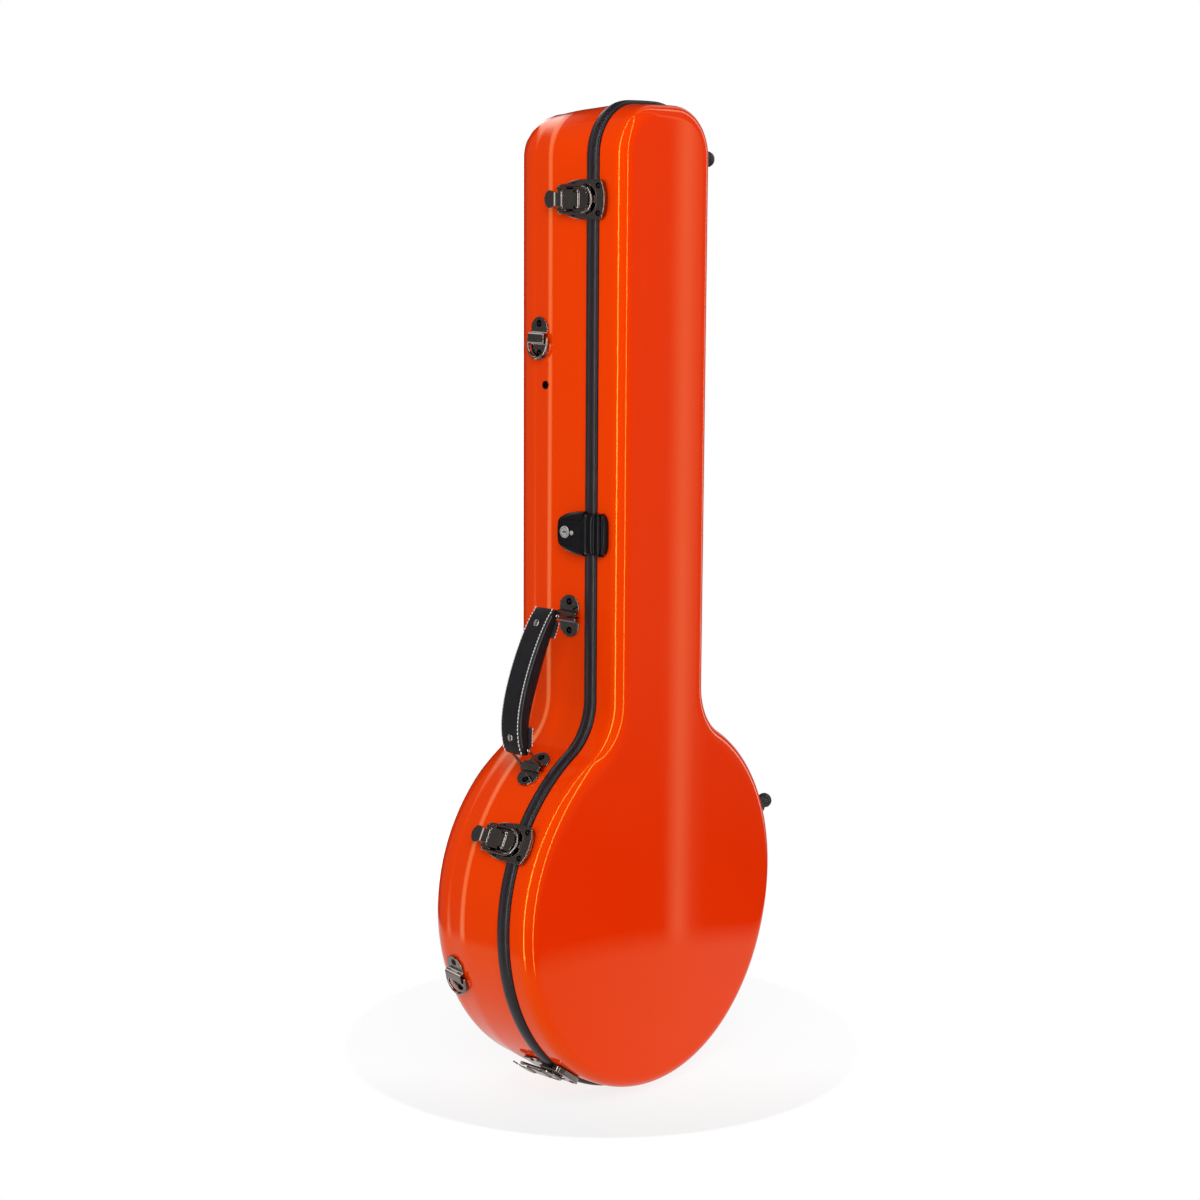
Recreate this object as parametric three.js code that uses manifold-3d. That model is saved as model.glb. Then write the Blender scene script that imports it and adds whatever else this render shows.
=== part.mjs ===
// Banjo case: two lacquered shells, lined inside, closed by three draw latches and a key lock.
// Sizes are in millimetres. The case lies on its back: +X runs from the neck end to the round
// end, +Y from the handle side to the hinge side and +Z from the back shell to the lid.
// The origin is on the flat resting face, under the centre of the round bay.

import * as THREE from 'three';
import { mergeVertices } from 'three/addons/utils/BufferGeometryUtils.js';
import Module from 'manifold-3d';

const wasm = await Module();
wasm.setup();

// Outline of the case
const caseLength = 1060;
const toeLength = 208;
const bulbHalfWidth = 203;
const neckHalfWidth = 72;
const headCornerRadius = 54;
const headEndRadius = 600;
const shoulderRadius = 65;

// Depth of the case and the form of its walls
const seamHeight = 128;
const lidRise = 42;
const lidCrownRadius = 2600;
const lidEdgeRadius = 15;
const lidTaper = 1;
const backEdgeRadius = 25;
const backTaper = 6;
const creaseDrop = 61;
const shellWall = 3;
const seatGap = 0.3;
const overrun = 5;

// Rubber seal between the rims
const sealHeight = 16;
const sealProud = 4;
const sealDepth = 4.5;

// Lining and pads inside
const linerThickness = 3;
const potRadius = 177;
const potPadThickness = 14;
const potPadStart = 190;
const ringPadDrop = 6;
const neckGapHalfWidth = 44;
const neckPadThickness = 10;
const cradleFromHead = 272;
const cradleLength = 40;
const cradleHeight = 90;
const cradleNotchRadius = 28;
const cradleNotchDepth = 30;
const cradleScrewRadius = 4;
const cradleScrewHeight = 1.6;
const cradleScrewDrop = 68;

// Accessory compartment under the neck
const boxFromBay = 400;
const boxLength = 88;
const boxHeight = 45;
const boxWall = 5;
const boxSideGap = 2;
const boxLidThickness = 4;
const pullLength = 22;
const pullOverhang = 8;
const pullWidth = 14;
const pullThickness = 1.6;

// Draw latches: places round the case, then the sizes of one latch
const latchFromHead = 98;
const shoulderLatchAngle = 117;
const toeLatchAngle = 36;
const latchWidth = 41;
const latchPlateLength = 34;
const latchPlateThickness = 2;
const latchPlateCorner = 13;
const latchPlateSetback = 1.5;
const latchPivotDrop = 13.7;
const latchPivotRise = 8.2;
const latchEarInset = 7.2;
const latchEarThickness = 2;
const latchEarHalfLength = 2.7;
const latchPinRadius = 1.2;
const latchBarrelRadius = 2.4;
const tongueLength = 12.5;
const tongueThickness = 2;
const leverLength = 46.3;
const leverHalfWidth = 9.5;
const leverPlateLength = 20.5;
const leverNeckHalfWidth = 6;
const leverTabRadius = 8;
const leverThickness = 2.2;
const bailWireRadius = 1.4;
const bailHalfWidth = 14;
const bailReach = 4.6;
const bailPivotFromLever = 26.8;
const bailLugThickness = 1.7;
const bailLugHalfLength = 2.3;
const catchThickness = 1.9;
const catchArmDrop = 9.5;
const catchStraightRise = 12.8;
const catchArcRise = 21;
const catchNotchRadius = 15.8;
const catchNotchCentre = -6;
const catchHookHalfWidth = 4;
const catchHookDrop = 2;
const catchFootThickness = 2;
const screwHeadRadius = 2.6;
const screwHeadHeight = 0.9;
const latchScrewSpread = 15.5;
const latchScrewDrop = 26;
const catchScrewSpread = 14;
const catchScrewRise = 12.4;

// Key lock
const lockFromBay = 408;
const lockWidth = 47;
const lockBodyLength = 40;
const lockBodyEnd = 2.5;
const lockTailHalfWidth = 12;
const lockSideDrop = 32;
const lockThickness = 11.5;
const lockBevel = 2.5;
const lockPanelInset = 9;
const lockPanelDepth = 0.8;
const keyRadius = 6.5;
const keyDrop = 28.5;
const keySocketDepth = 7;
const keyProud = 0.6;
const keySlotLength = 6.4;
const keySlotWidth = 1.2;
const keySlotDepth = 2;
const lockButtonRadius = 2.4;
const lockButtonDrop = 18;
const lockButtonTravel = 1.2;
const lockButtonDepth = 4;
const haspLength = 15.5;
const haspRise = 15.2;
const haspHalfWidth = 22;
const haspPivotAbove = 15.8;
const haspPivotRise = 6.6;
const haspBarrelRadius = 2.2;
const haspPinRadius = 1.2;
const haspEarInset = 13;
const haspEarThickness = 3;
const strikeEnd = 26.6;
const strikeRise = 6;
const strikeRibHeight = 0.9;

// Strap brackets with their wire rings
const strapFromHead = 243;
const strapRingDrop = 77;
const toeStrapAngle = 72;
const toeStrapDrop = 81;
const bracketLength = 43;
const bracketWidth = 24;
const bracketWaistWidth = 17;
const bracketThickness = 1.8;
const bracketScrewSpread = 15;
const saddleOuterRadius = 4.5;
const wireRadius = 1.7;
const wireClearance = 0.6;
const wireAxisRise = 3.5;
const ringHalfWidth = 15.8;
const ringLegLength = 5;
const ringRestTilt = 14;

// Carrying handle
const handleFromBay = 317;
const handleDrop = 30;
const lowerBracketAngle = 141.3;
const loopLength = 33;
const loopHalfWidth = 15.6;
const upperLoopAngle = 10;
const lowerLoopAngle = 48;
const gripWidth = 27;
const gripEndThickness = 13;
const gripMiddleThickness = 23;
const gripBow = 9.5;
const gripEndRadius = 6.2;
const lowerBoreSlack = 2.1;
const gripSectionPower = 0.62;
const gripRivetShare = 0.13;
const rivetRadius = 4;
const rivetHeight = 1.2;

// Rubber feet on the hinge side
const headFootFromHead = 55;
const bulbFootAngle = 110;
const footRadius = 8.5;
const footHeight = 19;
const footRise = 20;
const footDomeShare = 0.45;

// Hinges: both knuckles lie on one line that touches the head corner and the round end
const hingeLength = 44;
const hingeKnuckleRadius = 5;
const hingePinRadius = 1.6;
const hingeLeafHeight = 12;
const hingeLeafThickness = 2.6;
const hingeLeafStart = 10;
const neckHingeBack = 56;
const hingeClearance = 0.6;
const hingeArmThickness = 3;
const knuckleShare = 0.4;

// Segment counts of the faceted outline and of round pieces
const endArcCount = 2;
const cornerCount = 5;
const shoulderCount = 4;
const bulbCount = 6;
const toeCount = 10;
const edgeCount = 4;
const crownColumnCount = 8;
const roundSideCount = 14;
const wireSideCount = 6;
const bailSegmentCount = 26;
const ringSegmentCount = 20;
const gripSectionCount = 14;
const gripSideCount = 16;

const headReach = caseLength - toeLength;
const sealTop = seamHeight + sealHeight / 2;
const sealBottom = seamHeight - sealHeight / 2;
const lidRim = sealTop + seatGap;
const backRim = sealBottom - seatGap;
const creaseHeight = seamHeight - creaseDrop;

const lacquer = { color: 0xdd3c06, roughness: 0.16, metalness: 0 };
const blackMetal = { color: 0x2e2a2a, roughness: 0.3, metalness: 0.9 };
const rubber = { color: 0x1d1c1e, roughness: 0.7, metalness: 0 };
const lockPlastic = { color: 0x141416, roughness: 0.35, metalness: 0 };
const keyMetal = { color: 0x8d8b88, roughness: 0.35, metalness: 0.9 };
const leather = { color: 0x17161a, roughness: 0.55, metalness: 0 };
const plush = { color: 0x191a1e, roughness: 0.95, metalness: 0 };

// A closed mesh from corner points and triangles, wound so that its faces point out.
function closedMesh(points, triangles) {
  const geometry = new THREE.BufferGeometry();
  geometry.setAttribute('position', new THREE.Float32BufferAttribute(points.flatMap((p) => [p.x, p.y, p.z]), 3));
  let volume = 0;
  for (const [a, b, c] of triangles) {
    volume += points[a].dot(new THREE.Vector3().crossVectors(points[b], points[c]));
  }
  const wound = volume < 0 ? triangles.map(([a, b, c]) => [a, c, b]) : triangles;
  geometry.setIndex(wound.flat());
  return geometry;
}

function toSolid(geometry) {
  const bare = new THREE.BufferGeometry();
  bare.setAttribute('position', geometry.getAttribute('position').clone());
  if (geometry.getIndex()) bare.setIndex(geometry.getIndex().clone());
  const merged = mergeVertices(bare, seatGap / 1000);
  const mesh = new wasm.Mesh({
    numProp: 3,
    vertProperties: new Float32Array(merged.getAttribute('position').array),
    triVerts: new Uint32Array(merged.getIndex().array),
  });
  return new wasm.Manifold(mesh);
}

function toGeometry(solid) {
  const mesh = solid.getMesh();
  const geometry = new THREE.BufferGeometry();
  geometry.setAttribute('position', new THREE.Float32BufferAttribute(Float32Array.from(mesh.vertProperties), 3));
  geometry.setIndex(Array.from(mesh.triVerts));
  return geometry;
}

function joinAll(solids) {
  return solids.reduce((whole, next) => whole.add(next));
}

function moved(geometry, x, y, z) {
  return geometry.translate(x, y, z);
}

// A box solid between two corners.
function slab(x0, x1, y0, y1, z0, z1) {
  const box = new THREE.BoxGeometry(x1 - x0, y1 - y0, z1 - z0);
  return toSolid(moved(box, (x0 + x1) / 2, (y0 + y1) / 2, (z0 + z1) / 2));
}

// A round bar along one axis ('x', 'y' or 'z'), centred on a point.
function bar(axis, radius, length, x, y, z, sides = roundSideCount) {
  const cylinder = new THREE.CylinderGeometry(radius, radius, length, sides);
  if (axis === 'x') cylinder.rotateZ(Math.PI / 2);
  if (axis === 'z') cylinder.rotateX(Math.PI / 2);
  return toSolid(moved(cylinder, x, y, z));
}

// A flat outline, given in the plate's plane, made solid from one level up to another.
function plate(shape, from, to, curveSegments = 6) {
  const body = new THREE.ExtrudeGeometry(shape, { depth: to - from, bevelEnabled: false, curveSegments });
  return toSolid(moved(body, 0, 0, from));
}

function roundedBox(x0, x1, y0, y1, radius) {
  const shape = new THREE.Shape();
  shape.moveTo(x0 + radius, y0);
  shape.lineTo(x1 - radius, y0);
  shape.absarc(x1 - radius, y0 + radius, radius, -Math.PI / 2, 0);
  shape.lineTo(x1, y1 - radius);
  shape.absarc(x1 - radius, y1 - radius, radius, 0, Math.PI / 2);
  shape.lineTo(x0 + radius, y1);
  shape.absarc(x0 + radius, y1 - radius, radius, Math.PI / 2, Math.PI);
  shape.lineTo(x0, y0 + radius);
  shape.absarc(x0 + radius, y0 + radius, radius, Math.PI, Math.PI * 1.5);
  return shape;
}

// Outline stations on the hinge side, from the head end to the toe: each has a point on the
// wall and the direction that points out of the case there.
function arcStations(cx, cy, rx, ry, from, to, steps, inward = 1) {
  const stations = [];
  for (let i = 1; i <= steps; i += 1) {
    const t = from + ((to - from) * i) / steps;
    const normal = new THREE.Vector2(ry * Math.cos(t), rx * Math.sin(t)).normalize();
    stations.push({
      x: cx + rx * Math.cos(t), y: cy + ry * Math.sin(t), nx: normal.x * inward, ny: normal.y * inward,
    });
  }
  return stations;
}

const cornerCentreY = neckHalfWidth - headCornerRadius;
const endCentreX = -headReach + headEndRadius;
const cornerCentreX = endCentreX - Math.sqrt((headEndRadius - headCornerRadius) ** 2 - cornerCentreY ** 2);
const shoulderCentreY = neckHalfWidth + shoulderRadius;
const shoulderCentreX = -Math.sqrt((bulbHalfWidth + shoulderRadius) ** 2 - shoulderCentreY ** 2);
const shoulderTurn = Math.atan2(shoulderCentreY, shoulderCentreX);
const endTurn = Math.atan2(cornerCentreY, cornerCentreX - endCentreX);

const halfOutline = [
  { x: -headReach, y: 0, nx: -1, ny: 0 },
  ...arcStations(endCentreX, 0, headEndRadius, headEndRadius, Math.PI, endTurn, endArcCount),
  ...arcStations(cornerCentreX, cornerCentreY, headCornerRadius, headCornerRadius, endTurn, Math.PI / 2, cornerCount),
  { x: shoulderCentreX, y: neckHalfWidth, nx: 0, ny: 1 },
  ...arcStations(shoulderCentreX, shoulderCentreY, shoulderRadius, shoulderRadius,
    -Math.PI / 2, shoulderTurn - Math.PI, shoulderCount, -1),
  ...arcStations(0, 0, bulbHalfWidth, bulbHalfWidth, shoulderTurn, Math.PI / 2, bulbCount),
  ...arcStations(0, 0, toeLength, bulbHalfWidth, Math.PI / 2, 0, toeCount),
];
const lastStation = halfOutline.length - 1;
halfOutline[lastStation].y = 0;
const outline = [
  ...halfOutline,
  ...halfOutline.slice(1, lastStation).reverse().map((s) => ({ x: s.x, y: -s.y, nx: s.nx, ny: -s.ny })),
];

// One ring of points: the outline drawn in by an inset, at a height that may change across it.
function ring(inset, heightAt) {
  return outline.map((s) => {
    const x = s.x - s.nx * inset;
    const y = s.y - s.ny * inset;
    return new THREE.Vector3(x, y, heightAt(y));
  });
}

// Fills a ring with rows across the case, so that a crowned face keeps its curve.
function capFill(points, triangles, start, columns, heightAt) {
  const count = outline.length;
  let before = [start];
  for (let k = 1; k <= lastStation; k += 1) {
    let row = [start + k];
    if (k < lastStation) {
      const a = points[start + k];
      const b = points[start + count - k];
      for (let j = 1; j < columns; j += 1) {
        const y = a.y + ((b.y - a.y) * j) / columns;
        points.push(new THREE.Vector3(a.x, y, heightAt(y)));
        row.push(points.length - 1);
      }
      row.push(start + count - k);
    }
    for (let j = 0; j < columns; j += 1) {
      const a = before[Math.min(j, before.length - 1)];
      const b = before[Math.min(j + 1, before.length - 1)];
      const c = row[Math.min(j, row.length - 1)];
      const d = row[Math.min(j + 1, row.length - 1)];
      if (c !== d) triangles.push([a, c, d]);
      if (a !== b) triangles.push([a, d, b]);
    }
    before = row;
  }
}

// Joins rings into one closed skin: its first and last rings are filled, or joined to each other.
function loft(rings, fill) {
  const count = outline.length;
  const points = rings.flat().map((p) => p.clone());
  const triangles = [];
  const bands = fill ? rings.length - 1 : rings.length;
  for (let r = 0; r < bands; r += 1) {
    const low = r * count;
    const high = ((r + 1) % rings.length) * count;
    for (let k = 0; k < count; k += 1) {
      const n = (k + 1) % count;
      triangles.push([low + k, low + n, high + n], [low + k, high + n, high + k]);
    }
  }
  if (fill) {
    const first = [];
    capFill(points, first, 0, fill.firstColumns, fill.firstHeight);
    triangles.push(...first.map(([a, b, c]) => [a, c, b]));
    capFill(points, triangles, (rings.length - 1) * count, fill.lastColumns, fill.lastHeight);
  }
  return closedMesh(points, triangles);
}

const level = (height) => () => height;

function quarterTurns(steps) {
  return Array.from({ length: steps + 1 }, (_, i) => (Math.PI / 2) * (i / steps));
}

// Rings of the back shell's wall, from the given rim down to its flat face, drawn in by depth.
function backRings(rim, depth, steps = edgeCount) {
  const radius = backEdgeRadius - depth;
  const rings = [ring(depth, level(rim)), ring(depth, level(creaseHeight))];
  for (const turn of quarterTurns(steps)) {
    const inset = backTaper + backEdgeRadius - radius * Math.cos(turn);
    rings.push(ring(inset, level(backEdgeRadius - radius * Math.sin(turn))));
  }
  return rings;
}

const lidTopAt = (y) => seamHeight + lidRise - (y * y) / (2 * lidCrownRadius);

// Rings of the lid's wall, from the given rim up to the edge of its crowned face.
function lidRings(rim, depth, steps = edgeCount) {
  const radius = lidEdgeRadius - depth;
  const rings = [ring(depth, level(rim))];
  for (const turn of quarterTurns(steps)) {
    const inset = lidTaper + lidEdgeRadius - radius * Math.cos(turn);
    rings.push(ring(inset, (y) => lidTopAt(y) - lidEdgeRadius + radius * Math.sin(turn)));
  }
  return rings;
}

// Two skins, one inside the other, joined at the rim: a wall that is open there.
function openShell(outer, inner, columns, outerFace, innerFace) {
  const rings = [...outer.slice().reverse(), ...inner];
  const fill = { firstColumns: columns, firstHeight: outerFace, lastColumns: columns, lastHeight: innerFace };
  return loft(rings, fill);
}

const linerDepth = shellWall + seatGap;
const bayDepth = linerDepth + linerThickness + seatGap;
const innerEdgeCount = edgeCount - 1;

function backShell() {
  const face = level(0);
  return openShell(backRings(backRim, 0), backRings(backRim, shellWall, innerEdgeCount), 2, face, level(shellWall));
}

function lidShell() {
  const inside = (y) => lidTopAt(y) - shellWall;
  const inner = lidRings(lidRim, shellWall, innerEdgeCount);
  return openShell(lidRings(lidRim, 0), inner, crownColumnCount, lidTopAt, inside);
}

function backLiner() {
  const outer = backRings(backRim, linerDepth, innerEdgeCount);
  const inner = backRings(backRim, linerDepth + linerThickness, innerEdgeCount);
  return openShell(outer, inner, 2, level(linerDepth), level(linerDepth + linerThickness));
}

function lidLiner() {
  const depth = linerDepth + linerThickness;
  const outer = lidRings(lidRim, linerDepth, innerEdgeCount);
  const inner = lidRings(lidRim, depth, innerEdgeCount);
  return openShell(outer, inner, crownColumnCount, (y) => lidTopAt(y) - linerDepth, (y) => lidTopAt(y) - depth);
}

// The seal is a half-round bead outside, with a flat back that covers both rims.
function rimSeal() {
  const rings = [ring(sealDepth, level(sealTop)), ring(sealDepth, level(sealBottom))];
  for (let i = 0; i <= edgeCount + 2; i += 1) {
    const turn = -Math.PI / 2 + (Math.PI * i) / (edgeCount + 2);
    const inset = -sealProud * Math.cos(turn);
    rings.push(ring(inset, level(seamHeight + (sealHeight / 2) * Math.sin(turn))));
  }
  return loft(rings, null);
}

// The room inside the lined back shell: pads are cut to it.
const bay = toSolid(loft(backRings(backRim, bayDepth, innerEdgeCount).reverse(), {
  firstColumns: 2, firstHeight: level(bayDepth), lastColumns: 2, lastHeight: level(backRim),
}));

function inBay(x0, x1, z0, z1) {
  return bay.intersect(slab(x0, x1, -caseLength, caseLength, z0, z1));
}

const potPadTop = bayDepth + potPadThickness;
const neckPadTop = bayDepth + neckPadThickness;
const ringPadTop = backRim - ringPadDrop;
const cradleX = -headReach + cradleFromHead;
const cradleTop = neckPadTop + seatGap + cradleHeight;
const boxX = -boxFromBay;
const boxFloor = neckPadTop + seatGap;
const boxTop = boxFloor + boxHeight;

function potFloorPad() {
  return inBay(-potPadStart, caseLength, 0, potPadTop);
}

function potRingPad() {
  const bottom = potPadTop + seatGap;
  const ringBody = inBay(-potPadStart, caseLength, bottom, ringPadTop);
  const pot = bar('z', potRadius, caseLength, 0, 0, 0, outline.length);
  const neckWay = slab(-caseLength, 0, -neckGapHalfWidth, neckGapHalfWidth, -overrun, caseLength);
  return ringBody.subtract(pot).subtract(neckWay);
}

function neckFloorPad() {
  return inBay(-caseLength, -potPadStart - seatGap, 0, neckPadTop);
}

function neckCradle() {
  const block = inBay(cradleX, cradleX + cradleLength, neckPadTop + seatGap, cradleTop);
  const notchBottom = cradleTop - cradleNotchDepth + cradleNotchRadius;
  const middle = cradleX + cradleLength / 2;
  const round = bar('x', cradleNotchRadius, cradleLength + overrun, middle, 0, notchBottom, roundSideCount + 2);
  const throat = slab(cradleX - overrun, cradleX + cradleLength + overrun,
    -cradleNotchRadius, cradleNotchRadius, notchBottom, cradleTop + overrun);
  return block.subtract(round).subtract(throat);
}

const boxHalfWidth = neckHalfWidth - bayDepth - boxSideGap;

function accessoryBox() {
  const block = inBay(boxX, boxX + boxLength, boxFloor, boxTop);
  const side = boxHalfWidth - backTaper - boxWall;
  const room = slab(boxX + boxWall, boxX + boxLength - boxWall, -side, side, boxFloor + boxWall, boxTop + overrun);
  return block.subtract(room);
}

function accessoryLid() {
  const z0 = boxTop + seatGap;
  return slab(boxX, boxX + boxLength, -boxHalfWidth, boxHalfWidth, z0, z0 + boxLidThickness);
}

// A soft pull tab glued on the accessory lid, past its free edge.
function accessoryPull() {
  const z0 = boxTop + boxLidThickness + 2 * seatGap;
  return slab(boxX - pullOverhang, boxX - pullOverhang + pullLength, -pullWidth / 2, pullWidth / 2,
    z0, z0 + pullThickness);
}

// Places on the wall: side is +1 on the hinge side and -1 on the handle side.
function neckPlace(fromHead, side) {
  return { x: -headReach + fromHead, y: side * neckHalfWidth, nx: 0, ny: side };
}

function bulbPlace(degrees, side) {
  const t = THREE.MathUtils.degToRad(degrees);
  const reach = degrees > 90 ? bulbHalfWidth : toeLength;
  const normal = new THREE.Vector2(bulbHalfWidth * Math.cos(t), reach * Math.sin(t)).normalize();
  return { x: reach * Math.cos(t), y: side * bulbHalfWidth * Math.sin(t), nx: normal.x, ny: side * normal.y };
}

const taperAngle = Math.atan2(backTaper, creaseHeight - backEdgeRadius);

// A frame on the wall at a height: x runs along the wall, y up it and z straight out of it.
function wallFrame(place, height) {
  const leaning = height < creaseHeight;
  const lean = leaning ? taperAngle : 0;
  const inset = leaning ? (creaseHeight - height) * Math.tan(taperAngle) : 0;
  const out = new THREE.Vector3(place.nx * Math.cos(lean), place.ny * Math.cos(lean), -Math.sin(lean));
  const up = new THREE.Vector3(place.nx * Math.sin(lean), place.ny * Math.sin(lean), Math.cos(lean));
  const along = new THREE.Vector3().crossVectors(up, out);
  const origin = new THREE.Vector3(place.x - place.nx * inset, place.y - place.ny * inset, height);
  return new THREE.Matrix4().makeBasis(along, up, out).setPosition(origin);
}

function screwHead(u, v, w) {
  return bar('z', screwHeadRadius, screwHeadHeight * 2, u, v, w, roundSideCount - 4);
}

// A bent wire: two legs that end at the given places, joined by a half circle.
function wireLoop(halfWidth, legFrom, bendAt, radius, footTurn, steps) {
  const path = new THREE.CurvePath();
  const corner = (u, v) => new THREE.Vector3(u, v, 0);
  if (footTurn > 0) {
    path.add(new THREE.LineCurve3(corner(-halfWidth + footTurn, legFrom), corner(-halfWidth, legFrom)));
  }
  path.add(new THREE.LineCurve3(corner(-halfWidth, legFrom), corner(-halfWidth, bendAt)));
  const turn = Array.from({ length: roundSideCount + 1 }, (_, i) => {
    const t = Math.PI - (Math.PI * i) / roundSideCount;
    return corner(halfWidth * Math.cos(t), bendAt + halfWidth * Math.sin(t));
  });
  path.add(new THREE.CatmullRomCurve3(turn));
  path.add(new THREE.LineCurve3(corner(halfWidth, bendAt), corner(halfWidth, legFrom)));
  if (footTurn > 0) {
    path.add(new THREE.LineCurve3(corner(halfWidth, legFrom), corner(halfWidth - footTurn, legFrom)));
  }
  const section = new THREE.Shape().absarc(0, 0, radius, 0, Math.PI * 2);
  return new THREE.ExtrudeGeometry(section, {
    steps, bevelEnabled: false, extrudePath: path, curveSegments: wireSideCount / 2,
  });
}

// Latch pieces, in a wall frame whose origin is on the seam.
const latchBaseTop = -sealHeight / 2 - latchPlateSetback;
const latchPlateTop = seatGap + latchPlateThickness;
const bailPivotDrop = latchPivotDrop + bailPivotFromLever;
const leverBottom = latchPivotRise - leverThickness / 4;
const leverTop = leverBottom + leverThickness;
const tongueStart = -latchPivotDrop + latchBarrelRadius + 2 * seatGap;
const tongueTop = latchPivotRise + latchPinRadius;

function latchBase() {
  const half = latchWidth / 2;
  const outlineShape = roundedBox(-half, half, latchBaseTop - latchPlateLength, latchBaseTop, latchPlateCorner);
  const parts = [plate(outlineShape, seatGap, latchPlateTop)];
  const earOut = latchEarInset + latchEarThickness;
  for (const side of [-1, 1]) {
    const u0 = Math.min(side * latchEarInset, side * earOut);
    parts.push(slab(u0, u0 + latchEarThickness, -latchPivotDrop - latchEarHalfLength,
      -latchPivotDrop + latchEarHalfLength, latchPlateTop - seatGap, latchPivotRise + latchEarHalfLength));
    parts.push(slab(u0, u0 + latchEarThickness, -latchPivotDrop, tongueStart + latchEarThickness,
      latchPlateTop - seatGap, tongueTop));
    parts.push(screwHead(side * latchScrewSpread, -latchScrewDrop, latchPlateTop));
  }
  const tongue = new THREE.Shape();
  const bendAt = tongueStart + tongueLength - earOut;
  tongue.moveTo(-earOut, tongueStart);
  tongue.lineTo(earOut, tongueStart);
  tongue.lineTo(earOut, bendAt);
  tongue.absarc(0, bendAt, earOut, 0, Math.PI);
  parts.push(plate(tongue, tongueTop - tongueThickness, tongueTop));
  const bore = bar('x', latchPinRadius + seatGap, latchWidth, 0, -latchPivotDrop, latchPivotRise);
  return joinAll(parts).subtract(bore);
}

function latchLever() {
  const shape = new THREE.Shape();
  const barrelHalf = latchEarInset - seatGap;
  const shoulder = -latchPivotDrop - Math.SQRT2 * latchEarHalfLength - seatGap;
  const plateEnd = -latchPivotDrop - leverPlateLength;
  const tabCentre = -latchPivotDrop - leverLength + leverTabRadius;
  const tabTurn = Math.acos(leverNeckHalfWidth / leverTabRadius);
  shape.moveTo(barrelHalf, -latchPivotDrop);
  shape.lineTo(-barrelHalf, -latchPivotDrop);
  shape.lineTo(-barrelHalf, shoulder);
  shape.lineTo(-leverHalfWidth, shoulder);
  shape.lineTo(-leverHalfWidth, plateEnd);
  shape.lineTo(-leverNeckHalfWidth, plateEnd);
  shape.absarc(0, tabCentre, leverTabRadius, Math.PI - tabTurn, 2 * Math.PI + tabTurn);
  shape.lineTo(leverNeckHalfWidth, plateEnd);
  shape.lineTo(leverHalfWidth, plateEnd);
  shape.lineTo(leverHalfWidth, shoulder);
  shape.lineTo(barrelHalf, shoulder);
  const parts = [
    plate(shape, leverBottom, leverTop),
    bar('x', latchBarrelRadius, 2 * barrelHalf, 0, -latchPivotDrop, latchPivotRise),
    bar('x', latchPinRadius, 2 * (latchEarInset + latchEarThickness), 0, -latchPivotDrop, latchPivotRise),
  ];
  for (const side of [-1, 1]) {
    const inner = side * (leverNeckHalfWidth - seatGap);
    const outer = side * (leverHalfWidth + bailLugThickness);
    parts.push(slab(Math.min(inner, outer), Math.max(inner, outer), -bailPivotDrop - bailLugHalfLength,
      -bailPivotDrop + bailLugHalfLength, leverBottom, leverTop));
  }
  return joinAll(parts);
}

function latchBail() {
  const footTurn = bailHalfWidth - leverHalfWidth - bailLugThickness - seatGap;
  const wire = wireLoop(bailHalfWidth, -bailPivotDrop, bailReach - bailHalfWidth, bailWireRadius, footTurn,
    bailSegmentCount);
  return toSolid(moved(wire, 0, 0, latchPivotRise));
}

// The catch is a raised half-moon over the seam: its notch holds the bail's round end, and a
// hook reaches in under it.
function latchCatch() {
  const half = latchWidth / 2;
  const footStart = sealHeight / 2 + latchPlateSetback / 2;
  const top = latchPivotRise - bailWireRadius - seatGap;
  const outer = new THREE.Shape();
  outer.moveTo(-half, -catchArmDrop);
  outer.lineTo(half, -catchArmDrop);
  outer.lineTo(half, catchStraightRise);
  outer.quadraticCurveTo(half / 2, catchArcRise, 0, catchArcRise);
  outer.quadraticCurveTo(-half / 2, catchArcRise, -half, catchStraightRise);
  const notch = new THREE.Shape();
  notch.moveTo(-catchNotchRadius, -latchWidth);
  notch.lineTo(catchNotchRadius, -latchWidth);
  notch.lineTo(catchNotchRadius, catchNotchCentre);
  notch.absarc(0, catchNotchCentre, catchNotchRadius, 0, Math.PI);
  const cover = plate(outer, seatGap, top).subtract(plate(notch, 0, latchWidth, roundSideCount / 2));
  const sealWay = slab(-latchWidth, latchWidth, -latchWidth, footStart, -overrun, top - catchThickness);
  const foot = plate(outer, seatGap, seatGap + catchFootThickness);
  const hookEnd = catchNotchCentre + catchNotchRadius + catchFootThickness;
  const parts = [
    cover.add(foot).subtract(sealWay),
    slab(-catchHookHalfWidth, catchHookHalfWidth, -catchHookDrop, hookEnd, top - catchThickness, top),
  ];
  for (const side of [-1, 1]) {
    parts.push(screwHead(side * catchScrewSpread, catchScrewRise, top));
  }
  return joinAll(parts);
}

// Key lock pieces, in a wall frame whose origin is on the seam.
const lockTop = seatGap + lockThickness;
const lockFace = lockTop - lockPanelDepth;

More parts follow.
